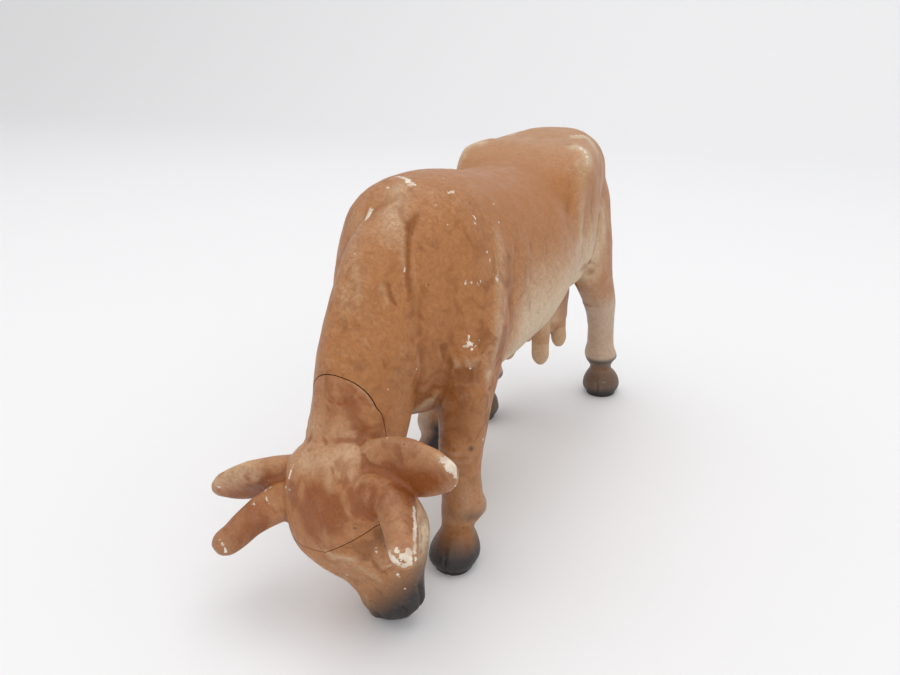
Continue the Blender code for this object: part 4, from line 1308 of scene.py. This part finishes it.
# The crown: poll, horns and ears in one moulding, let into the top of the head and neck. Its
# edge is an arch over the neck and a shallow V across the forehead. The paint is a deeper
# orange brown here and is worn to the cream plastic at the horn and ear tips.
CROWN_INSET = 0.0068
CROWN_ARCH_RADIUS = 0.0083
CROWN_ARCH_ROUNDING = 0.0036
CROWN_SIDE_DROP_SHARE = 0.170
CROWN_LOW_SHARES = [
    (-2.600, 0.545),
    (-1.380, 0.447),
    (-1.086, 0.360),
    (-0.905, 0.351),
    (0.000, 0.425),
    (0.905, 0.351),
    (1.086, 0.360),
    (1.380, 0.447),
    (2.600, 0.545),
]
CROWN_LEFT_SHARES = [(2.600, -0.080), (1.200, -0.080)]
CROWN_RIGHT_SHARES = [(-0.560, -0.080), (-2.600, -0.080)]
CROWN_ARCH_SHARES = (0.380, -0.112)
CROWN_SEAM_GAP = 0.00014
ARCH_POINTS = 25
ROUNDING_RINGS = 8


def crown_room(gap):
    """Like outlines from behind the crown to far in front of it: the low line and the sides,
    joined by a half circle over the neck, which a quarter circle rounds off at the back."""
    turn = np.linspace(0.0, math.pi, ARCH_POINTS)
    side, along = CROWN_ARCH_SHARES
    flat_sizes = (HEAD_HALF_WIDTH, HEAD_LENGTH)
    low = np.array(CROWN_LOW_SHARES) * flat_sizes + (0, gap)
    left = np.array(CROWN_LEFT_SHARES) * flat_sizes - (0, gap)
    right = np.array(CROWN_RIGHT_SHARES) * flat_sizes - (0, gap)
    rounding = np.append(np.linspace(0.0, math.pi / 2, ROUNDING_RINGS), math.pi / 2)
    outs = CROWN_ARCH_ROUNDING * (1 - np.cos(rounding)) - CROWN_INSET - gap
    outs[-1] = OVERRUN
    rings = []
    for share, out in zip(1 - np.sin(rounding), outs):
        radius = CROWN_ARCH_RADIUS + gap - CROWN_ARCH_ROUNDING * share
        drop = (0, CROWN_SIDE_DROP_SHARE * HEAD_LENGTH * share)
        arch_side = side * HEAD_HALF_WIDTH + radius * np.cos(turn)
        arch_along = along * HEAD_LENGTH - radius * np.sin(turn)
        arch = np.column_stack([arch_side, arch_along])
        points = np.concatenate([low, left + drop, arch, right + drop])
        rings.append(on_head(np.column_stack([points, np.full(len(points), out)])))
    return room("crown_room", rings)


crown = part_off("crown_skin", CROWN_SEAM_GAP, crown_room)


def put(tree, kind, inputs, **settings):
    """Puts a shader node into a tree. An input that is a socket is linked to it, and any
    other is its value."""
    made = tree.nodes.new(kind)
    for name, value in settings.items():
        setattr(made, name, value)
    for name, value in inputs.items():
        if isinstance(value, bpy.types.NodeSocket):
            tree.links.new(value, made.inputs[name])
        else:
            made.inputs[name].default_value = value
    return made


def new_group(name, inputs, outputs):
    """A shader node group with these sockets, given as name and kind, and its two ends."""
    group = bpy.data.node_groups.new(name, "ShaderNodeTree")
    for title, kind in inputs:
        group.interface.new_socket(title, in_out="INPUT", socket_type=kind)
    for title, kind in outputs:
        group.interface.new_socket(title, in_out="OUTPUT", socket_type=kind)
    return group, group.nodes.new("NodeGroupInput").outputs, group.nodes.new("NodeGroupOutput").inputs


def mask(tree, name):
    """The value of a mask that is stored on the mesh."""
    return put(tree, "ShaderNodeAttribute", {}, attribute_name=name).outputs["Fac"]


def noise(tree, coords, scale, detail=2.0, warp=0.0):
    """Soft random clouds, with this many to the metre."""
    inputs = {"Vector": coords, "Scale": scale, "Detail": detail, "Roughness": 0.55, "Distortion": warp}
    return put(tree, "ShaderNodeTexNoise", inputs).outputs["Fac"]


def span(tree, value, low, high, to_low=0.0, to_high=1.0):
    """A value carried smoothly from one range to another."""
    inputs = {"Value": value, "From Min": low, "From Max": high, "To Min": to_low, "To Max": to_high}
    return put(tree, "ShaderNodeMapRange", inputs, interpolation_type="SMOOTHSTEP").outputs["Result"]


def maths(tree, operation, first, second=0.0, third=0.0):
    """One sum of up to three values."""
    inputs = {0: first, 1: second, 2: third}
    return put(tree, "ShaderNodeMath", inputs, operation=operation).outputs["Value"]


def blend(tree, amount, first, second, way="MIX"):
    """Two colours blended by an amount. The node's inputs 6 and 7 are its colours, and its
    output 2 is the colour that they make."""
    made = put(tree, "ShaderNodeMix", {0: amount, 6: first, 7: second}, data_type="RGBA", blend_type=way)
    return made.outputs[2]


def stretched(tree, scale, lean=0.0):
    """The object's own coordinates, leant over about x and drawn out along the leant axes."""
    coords = put(tree, "ShaderNodeTexCoord", {}).outputs["Object"]
    inputs = {"Vector": coords, "Scale": scale, "Rotation": (lean, 0, 0)}
    return put(tree, "ShaderNodeMapping", inputs, vector_type="TEXTURE").outputs["Vector"]


# Sprayed paint: brown, deepened, thinned to pale and darkened where the masks say, and uneven
# in patches. The deep colour is also painted shade in the hollows, where paint pools too, and
# the pale colour a painted highlight on the ridges, where the paint is rubbed lighter too.
COLOUR = "NodeSocketColor"
NUMBER = "NodeSocketFloat"
HAIR_LEAN = 0.7
CLOUDS_PER_METRE = 90
PATCHES_PER_METRE = 230
FLECKS_PER_METRE = 1100
GRIT_PER_METRE = 1500

sprayed_and_shaded, given, result = new_group(
    "sprayed_paint_and_shading",
    [("Brown", COLOUR), ("Deep_and_shade", COLOUR), ("Pale_and_highlight", COLOUR), ("Dark", COLOUR)],
    [("Color", COLOUR)],
)
even = stretched(sprayed_and_shaded, (1, 1, 1))
streaks = stretched(sprayed_and_shaded, (1.0, 1.0, 1.8), HAIR_LEAN)
coarse = mask(sprayed_and_shaded, "coarse")
cloud = noise(sprayed_and_shaded, even, CLOUDS_PER_METRE, 3, 0.4)
patch = noise(sprayed_and_shaded, even, PATCHES_PER_METRE, 4, 0.9)
fleck = noise(sprayed_and_shaded, streaks, FLECKS_PER_METRE, 5, 1.2)
grit = noise(sprayed_and_shaded, even, GRIT_PER_METRE, 2)

# How far the edges of the sprayed areas wander, in clouds and in fine flecks
fleck = maths(sprayed_and_shaded, "SUBTRACT", fleck, 0.5)
fine = maths(sprayed_and_shaded, "MULTIPLY", fleck, maths(sprayed_and_shaded, "MULTIPLY_ADD", coarse, 0.50, 0.15))
edge = maths(sprayed_and_shaded, "ADD", maths(sprayed_and_shaded, "MULTIPLY_ADD", cloud, 0.44, -0.22), fine)
patch = maths(sprayed_and_shaded, "MULTIPLY", span(sprayed_and_shaded, patch, 0.44, 0.68, -0.10, 0.50), coarse)

# The deep mask holds painted shade as well as deeper paint, and the pale mask painted highlights and sheen
# as well as thinner paint.
deep_and_shade_edge = maths(sprayed_and_shaded, "ADD", mask(sprayed_and_shaded, "deep"), maths(sprayed_and_shaded, "ADD", edge, patch))
deep_and_shade_mask = span(sprayed_and_shaded, deep_and_shade_edge, 0.05, 0.95)
pale_and_highlight_edge = maths(sprayed_and_shaded, "MULTIPLY_ADD", edge, 0.65, mask(sprayed_and_shaded, "pale_and_highlight"))
pale_and_highlight_mask = span(sprayed_and_shaded, pale_and_highlight_edge, 0.04, 1.0)
dark_edge = maths(sprayed_and_shaded, "MULTIPLY_ADD", edge, 0.6, mask(sprayed_and_shaded, "dark"))
dark_mask = put(sprayed_and_shaded, "ShaderNodeMapRange", {"Value": dark_edge, "From Min": 0.06, "From Max": 0.94})
dark_mask = dark_mask.outputs["Result"]
bent = mask(sprayed_and_shaded, "bend")
# Painted shade: the deep colour in the hollows, where paint also pools.
hollow_shade = span(sprayed_and_shaded, maths(sprayed_and_shaded, "MULTIPLY", bent, -1.0), 0.03, 0.40, 0.0, 0.85)
# Painted highlight: the pale colour on the ridges, where the paint is also rubbed lighter.
ridge_rub_and_highlight = maths(sprayed_and_shaded, "ADD", bent, maths(sprayed_and_shaded, "MULTIPLY", edge, 0.4))
ridge_rub_and_highlight = span(sprayed_and_shaded, ridge_rub_and_highlight, 0.10, 0.60, 0.0, 0.30)

colour = blend(sprayed_and_shaded, pale_and_highlight_mask, given["Brown"], given["Pale_and_highlight"])
colour = blend(sprayed_and_shaded, deep_and_shade_mask, colour, given["Deep_and_shade"])
colour = blend(sprayed_and_shaded, hollow_shade, colour, given["Deep_and_shade"])
colour = blend(sprayed_and_shaded, ridge_rub_and_highlight, colour, given["Pale_and_highlight"])
colour = blend(sprayed_and_shaded, dark_mask, colour, given["Dark"])
shade = maths(sprayed_and_shaded, "MULTIPLY_ADD", fine, 0.9, 1.0)
shade = maths(sprayed_and_shaded, "MULTIPLY", shade, span(sprayed_and_shaded, grit, 0.25, 0.75, 0.91, 1.08))
grey = put(sprayed_and_shaded, "ShaderNodeCombineColor", {"Red": shade, "Green": shade, "Blue": shade}).outputs["Color"]
colour = blend(sprayed_and_shaded, 1.0, colour, grey, "MULTIPLY")
sprayed_and_shaded.links.new(colour, result["Color"])

# Wear: the cream plastic where paint is chipped or scratched off, with ragged edges, and a
# few dark specks of dirt. The same cream draws two painted glints of light on a hoof.
RAGS_PER_METRE = 900
FINE_RAGS_PER_METRE = 2600
RUBS_PER_METRE = 700
SPECKS_PER_METRE = 1100
SOIL_PER_METRE = 420
DIRT_BROWN = (0.05, 0.035, 0.03, 1)
SOILED_CREAM = (0.60, 0.46, 0.35, 1)

worn_and_glinting, given, result = new_group(
    "paint_wear_and_glints",
    [("Color", COLOUR), ("Plastic", COLOUR), ("Reach", NUMBER)],
    [("Color", COLOUR), ("Bare_and_glint", NUMBER)],
)
even = stretched(worn_and_glinting, (1, 1, 1))
ragged = maths(worn_and_glinting, "MULTIPLY_ADD", noise(worn_and_glinting, even, RAGS_PER_METRE, 3), 1.5, -1.10)
ragged = maths(worn_and_glinting, "MULTIPLY_ADD", noise(worn_and_glinting, even, FINE_RAGS_PER_METRE, 2), 0.7, ragged)
chipped_and_glinting = maths(worn_and_glinting, "SUBTRACT", mask(worn_and_glinting, "chip_and_glint"), given["Reach"])
bare_and_glint = span(worn_and_glinting, maths(worn_and_glinting, "ADD", chipped_and_glinting, ragged), 0.07, -0.07)
bent = maths(worn_and_glinting, "SUBTRACT", mask(worn_and_glinting, "bend"), 1.52)
rubbed = maths(worn_and_glinting, "ADD", noise(worn_and_glinting, even, RUBS_PER_METRE, 3), bent)
bare_and_glint = maths(worn_and_glinting, "MAXIMUM", bare_and_glint, span(worn_and_glinting, rubbed, 0.0, 0.05))
speck = span(worn_and_glinting, noise(worn_and_glinting, even, SPECKS_PER_METRE, 0), 0.855, 0.880, 0.0, 0.6)
colour = blend(worn_and_glinting, speck, given["Color"], DIRT_BROWN)
soiled = span(worn_and_glinting, noise(worn_and_glinting, even, SOIL_PER_METRE, 3), 0.40, 0.64)
plastic = blend(worn_and_glinting, soiled, given["Plastic"], SOILED_CREAM)
colour = blend(worn_and_glinting, bare_and_glint, colour, plastic)
worn_and_glinting.links.new(colour, result["Color"])
worn_and_glinting.links.new(bare_and_glint, result["Bare_and_glint"])

# Grain: the short hair strokes of the modelled coat, longer folds along them, and the fine
# stipple of the spray.
HAIRS_PER_METRE = 1100
FOLDS_PER_METRE = 300
STIPPLE_PER_METRE = 2600

grain, given, result = new_group("coat_grain", [("Hair", NUMBER)], [("Height", NUMBER)])
strokes = stretched(grain, (1.0, 1.0, 2.4), HAIR_LEAN)
coarse = mask(grain, "coarse")
hair = noise(grain, strokes, HAIRS_PER_METRE, 4, 0.8)
fold = noise(grain, strokes, FOLDS_PER_METRE, 3, 0.7)
stipple = noise(grain, stretched(grain, (1, 1, 1)), STIPPLE_PER_METRE, 2)
height = maths(grain, "MULTIPLY", hair, maths(grain, "MULTIPLY", coarse, given["Hair"]))
fold = maths(grain, "MULTIPLY", fold, maths(grain, "MULTIPLY_ADD", coarse, 1.6, 0.3))
height = maths(grain, "ADD", fold, maths(grain, "MULTIPLY", height, 1.5))
height = maths(grain, "MULTIPLY_ADD", stipple, 0.18, height)
grain.links.new(height, result["Height"])

BARE_AND_GLINT_CREAM = (0.80, 0.70, 0.58, 1)
PAINT_DARK = (0.032, 0.027, 0.026, 1)
PAINT_SHEEN = 0.4
SHEEN_PATCHES_PER_METRE = 300
GRAIN_HEIGHT = 0.00022
GRAIN_STRENGTH = 0.55
CRISP_TURN = math.radians(45)


# The deep colour of each paint is also its painted shade in the hollows, and its pale colour its painted
# highlight on the ridges.
def painted(name, brown, deep, pale_and_highlight, hair, reach):
    """A satin paint: the three groups over one another, duller where the plastic is bare and at
    the painted glints.
    """
    material = bpy.data.materials.new(name)
    material.use_nodes = True
    tree = material.node_tree
    shader = tree.nodes["Principled BSDF"]
    shader.inputs["Specular IOR Level"].default_value = PAINT_SHEEN
    colours = {"Brown": brown, "Deep_and_shade": deep, "Pale_and_highlight": pale_and_highlight, "Dark": PAINT_DARK}
    spray_and_shade_node = put(tree, "ShaderNodeGroup", {}, node_tree=sprayed_and_shaded)
    for title, value in colours.items():
        spray_and_shade_node.inputs[title].default_value = value
    wear_and_glints = put(tree, "ShaderNodeGroup", {}, node_tree=worn_and_glinting)
    wear_and_glints.inputs["Plastic"].default_value = BARE_AND_GLINT_CREAM
    wear_and_glints.inputs["Reach"].default_value = reach
    tree.links.new(spray_and_shade_node.outputs["Color"], wear_and_glints.inputs["Color"])
    tree.links.new(wear_and_glints.outputs["Color"], shader.inputs["Base Color"])
    satin = noise(tree, stretched(tree, (1, 1, 1)), SHEEN_PATCHES_PER_METRE, 3)
    satin = span(tree, satin, 0.3, 0.7, 0.40, 0.54)
    satin = maths(tree, "MULTIPLY_ADD", wear_and_glints.outputs["Bare_and_glint"], 0.15, satin)
    tree.links.new(satin, shader.inputs["Roughness"])
    fur = put(tree, "ShaderNodeGroup", {}, node_tree=grain)
    fur.inputs["Hair"].default_value = hair
    height = maths(tree, "MULTIPLY_ADD", wear_and_glints.outputs["Bare_and_glint"], -0.6, fur.outputs["Height"])
    inputs = {"Height": height, "Strength": GRAIN_STRENGTH, "Distance": GRAIN_HEIGHT}
    bump = put(tree, "ShaderNodeBump", inputs)
    tree.links.new(bump.outputs["Normal"], shader.inputs["Normal"])
    return material


def finish_piece(piece, node, material):
    """Masks, smooth shading with crisp cut edges, the paint, and its place on the model."""
    piece.data.shade_smooth()
    piece.data.set_sharp_from_angle(angle=CRISP_TURN)
    set_masks(piece)
    piece.data.materials.clear()
    piece.data.materials.append(material)
    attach(piece, "root")
    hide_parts(node)


CROWN_BROWN = (0.395, 0.167, 0.062, 1)
CROWN_DEEP = (0.265, 0.078, 0.018, 1)
CROWN_PALE = (0.550, 0.345, 0.200, 1)
crown_paint_and_shading = painted("crown_paint_and_shading", CROWN_BROWN, CROWN_DEEP, CROWN_PALE, 1.0, 0.0)
finish_piece(crown, "crown", crown_paint_and_shading)

# The udder: a bag with four teats, plugged into a rounded seat in the belly. The brown is
# sprayed thin on it, so that it looks a pale pinkish brown.
UDDER_SEAT_HALF_WIDTH = 0.0067
UDDER_SEAT_HALF_LENGTH = 0.0154
UDDER_ROOM_SHARES = [(0.600, 1.00), (0.445, 1.00), (0.420, 1.18), (0.100, 1.18)]
UDDER_SEAM_GAP = 0.00006


def udder_room(gap):
    """A rounded box that widens under the belly: level rings of a unit outline times the
    seat's half sizes."""
    x, y = outline(UDDER_SEAT_SQUARENESS)
    rings = []
    for height, share in UDDER_ROOM_SHARES:
        wide = udder_middle[0] + x[0] * (UDDER_SEAT_HALF_WIDTH * share + gap)
        long = udder_middle[1] + y[0] * (UDDER_SEAT_HALF_LENGTH * share + gap)
        rings.append(np.column_stack([wide, long, np.full(RING_POINTS, height * WITHERS_HEIGHT + gap)]))
    return room("udder_room", rings)


udder = part_off("udder_skin", UDDER_SEAM_GAP, udder_room)

UDDER_BROWN = (0.45, 0.235, 0.115, 1)
UDDER_DEEP = (0.30, 0.13, 0.05, 1)
UDDER_PALE = (0.52, 0.33, 0.195, 1)
udder_paint_and_shading = painted("udder_paint_and_shading", UDDER_BROWN, UDDER_DEEP, UDDER_PALE, 0.5, -0.2)
finish_piece(udder, "udder", udder_paint_and_shading)

# The legs: plugged in at elbow and stifle with a glued spigot, and cut flat at the sole. The
# hooves are sprayed a dark grey brown that fades out above them.

# Inner and outer side, front, back, and the height of the top at the inner and outer side
FORELEG_LEFT_ROOM_SHARES = (0.400, 1.760, -0.430, -0.190, 0.395, 0.549)
FORELEG_RIGHT_ROOM_SHARES = (0.400, 1.760, -0.360, 0.080, 0.395, 0.549)
HINDLEG_LEFT_ROOM_SHARES = (0.600, 1.760, 0.375, 0.680, 0.486, 0.526)
HINDLEG_RIGHT_ROOM_SHARES = (0.600, 1.760, 0.200, 0.520, 0.486, 0.526)


def leg_room(shares, side, gap):
    """A box down to the sole whose top slopes up to the outside."""
    inner, outer, front, back, inner_top, outer_top = shares
    near = side * (inner * STANCE_HALF_WIDTH - gap)
    far = side * (outer * STANCE_HALF_WIDTH + gap)
    ahead = front * BACK_LENGTH - gap
    behind = back * BACK_LENGTH + gap
    near_top = inner_top * WITHERS_HEIGHT + gap
    far_top = outer_top * WITHERS_HEIGHT + gap
    sole = -OVERRUN if gap else 0
    foot = [(near, ahead, sole), (far, ahead, sole), (far, behind, sole), (near, behind, sole)]
    top = [(near, ahead, near_top), (far, ahead, far_top), (far, behind, far_top), (near, behind, near_top)]
    return room("leg_room", [foot, top])


LEG_SEAM_GAP = 0.00001
LEG_BROWN = (0.388, 0.170, 0.062, 1)
LEG_DEEP = (0.265, 0.092, 0.020, 1)
LEG_PALE = (0.480, 0.340, 0.240, 1)
leg_paint_and_shading = painted("leg_paint_and_shading", LEG_BROWN, LEG_DEEP, LEG_PALE, 0.8, 0.0)
LEG_ROOMS = [
    ("foreleg_left", FORELEG_LEFT_ROOM_SHARES, 1),
    ("foreleg_right", FORELEG_RIGHT_ROOM_SHARES, -1),
    ("hindleg_left", HINDLEG_LEFT_ROOM_SHARES, 1),
    ("hindleg_right", HINDLEG_RIGHT_ROOM_SHARES, -1),
]
for name, shares, side in LEG_ROOMS:
    leg = part_off(name + "_skin", LEG_SEAM_GAP, leg_room, shares, side)
    finish_piece(leg, name, leg_paint_and_shading)

# The tail: a round cord of plastic glued into a socket at the tail head, with the long hair
# of the switch modelled at its end.
TAIL_HALF_WIDTH = 0.0022
TAIL_HALF_DEPTH = 0.0020
TAIL_RINGS = 160
STRAND_COUNT = 9
STRAND_DEPTH = 0.00035
STRAND_START_SHARES = (0.56, 0.46)
TAIL_LUMP_HEIGHT = 0.00006
TAIL_LUMP_SIZE = 0.003
TAIL_SEED = 21

# Centre x, y, z in shares of the trunk, half width, half depth
TAIL_SHARES = [
    (0.00, 0.480, 0.890, 0.80, 0.85),
    (0.00, 0.520, 0.915, 0.86, 0.92),
    (0.00, 0.560, 0.928, 1.00, 1.00),
    (0.00, 0.594, 0.908, 1.00, 1.00),
    (-0.02, 0.612, 0.855, 0.86, 0.90),
    (-0.06, 0.615, 0.725, 0.73, 0.80),
    (-0.11, 0.610, 0.595, 0.68, 0.75),
    (-0.13, 0.610, 0.520, 0.95, 1.00),
    (-0.14, 0.605, 0.440, 1.32, 1.25),
    (-0.15, 0.600, 0.365, 1.00, 0.95),
    (-0.15, 0.600, 0.310, 0.36, 0.40),
]
tail_rows = sized(TAIL_SHARES, TRUNK_SIZES, (TAIL_HALF_WIDTH, TAIL_HALF_DEPTH))
tail = room("tail_skin", limb_rings(tail_rows, (1, 0, 0), TAIL_RINGS))
tail_places = vertex_places(tail)
tail_height = tail_places[:, 2] / WITHERS_HEIGHT
strand_turn = np.linspace(0, STRAND_COUNT * math.pi, RING_POINTS, endpoint=False)
strand = np.tile(np.abs(np.sin(strand_turn)), len(tail_places) // RING_POINTS)
strand_depth = STRAND_DEPTH * soft(tail_height, *STRAND_START_SHARES)
tail_places -= vertex_normals(tail) * (strand_depth * (1 - strand))[:, None]
tail_lumps = 1 + lumps(tail_places, TAIL_LUMP_SIZE, TAIL_SEED)
tail_places -= vertex_normals(tail) * (TAIL_LUMP_HEIGHT * tail_lumps)[:, None]
tail.data.vertices.foreach_set("co", tail_places.ravel())
tail.data.update()

TAIL_BROWN = (0.28, 0.12, 0.05, 1)
TAIL_DEEP = (0.16, 0.06, 0.025, 1)
TAIL_PALE = (0.42, 0.26, 0.15, 1)
tail_paint_and_shading = painted("tail_paint_and_shading", TAIL_BROWN, TAIL_DEEP, TAIL_PALE, 0.8, 0.0)
finish_piece(tail, "tail", tail_paint_and_shading)

# The body: trunk, neck and face, one solid moulding with the sockets of all other pieces.
# The brown is sprayed over cream plastic and thins out towards the belly.
COAT_BROWN = (0.385, 0.153, 0.046, 1)
COAT_DEEP = (0.255, 0.084, 0.016, 1)
COAT_PALE = (0.575, 0.425, 0.275, 1)
coat_paint_and_shading = painted("coat_paint_and_shading", COAT_BROWN, COAT_DEEP, COAT_PALE, 1.0, 0.0)
finish_piece(body, "body", coat_paint_and_shading)
remove(skin)

# The table and backdrop: one large sheet of matt white card. It lies flat under the toy and
# sweeps up behind it, and reaches out of the picture on all sides.
SWEEP_WIDTH = 3.4
SWEEP_FRONT = -0.9
SWEEP_BEND = 0.55
SWEEP_RADIUS = 0.35
SWEEP_HEIGHT = 1.4
SWEEP_POINTS = 24
CARD_WHITE = (0.85, 0.85, 0.86, 1)
CARD_ROUGHNESS = 0.8

sweep_turn = np.linspace(0.0, math.pi / 2, SWEEP_POINTS)
sweep_y = np.concatenate([[SWEEP_FRONT], SWEEP_BEND + SWEEP_RADIUS * np.sin(sweep_turn)])
sweep_z = np.concatenate([[0.0], SWEEP_RADIUS * (1 - np.cos(sweep_turn))])
sweep_y = np.append(sweep_y, sweep_y[-1])
sweep_z = np.append(sweep_z, SWEEP_HEIGHT)
sweep_x = np.array([[-SWEEP_WIDTH / 2], [SWEEP_WIDTH / 2]])
sweep_points = np.stack(np.broadcast_arrays(sweep_x, sweep_y, sweep_z), axis=-1)
sweep_index = np.arange(len(sweep_y) - 1)
sweep_faces = np.stack(
    [sweep_index, sweep_index + len(sweep_y), sweep_index + len(sweep_y) + 1, sweep_index + 1], axis=1
)
card = new_object("card", sweep_points.reshape(-1, 3), sweep_faces.tolist())
card.data.shade_smooth()
card_paper = bpy.data.materials.new("card_paper")
card_paper.use_nodes = True
card_shader = card_paper.node_tree.nodes["Principled BSDF"]
card_shader.inputs["Base Color"].default_value = CARD_WHITE
card_shader.inputs["Roughness"].default_value = CARD_ROUGHNESS
card.data.materials.append(card_paper)

# The light: a large soft box overhead, a weak one at the cow's front left, behind the camera,
# and a pale room. The shadows are soft, and darkest close under the toy.
OVERHEAD_PLACE = (-0.05, 0.05, 0.9)
OVERHEAD_SIZE = 0.9
OVERHEAD_POWER = 3.3
FRONT_PLACE = (0.5, -0.7, 0.5)
FRONT_SIZE = 0.6
FRONT_POWER = 1.3
ROOM_WHITE = (1, 1, 1, 1)
ROOM_STRENGTH = 0.76


def soft_box(name, place, size, power):
    """A square lamp that looks at the middle of the toy."""
    data = bpy.data.lights.new(name, "AREA")
    data.size = size
    data.energy = power
    lamp = bpy.data.objects.new(name, data)
    way = Vector((0, 0, WITHERS_HEIGHT / 2)) - Vector(place)
    lamp.matrix_world = Matrix.Translation(place) @ way.to_track_quat("-Z", "Y").to_matrix().to_4x4()
    bpy.context.scene.collection.objects.link(lamp)


soft_box("overhead", OVERHEAD_PLACE, OVERHEAD_SIZE, OVERHEAD_POWER)
soft_box("front", FRONT_PLACE, FRONT_SIZE, FRONT_POWER)
world = bpy.data.worlds.new("room")
bpy.context.scene.world = world
world.use_nodes = True
room_light = world.node_tree.nodes["Background"]
room_light.inputs["Color"].default_value = ROOM_WHITE
room_light.inputs["Strength"].default_value = ROOM_STRENGTH

bpy.context.scene.view_settings.view_transform = "Standard"
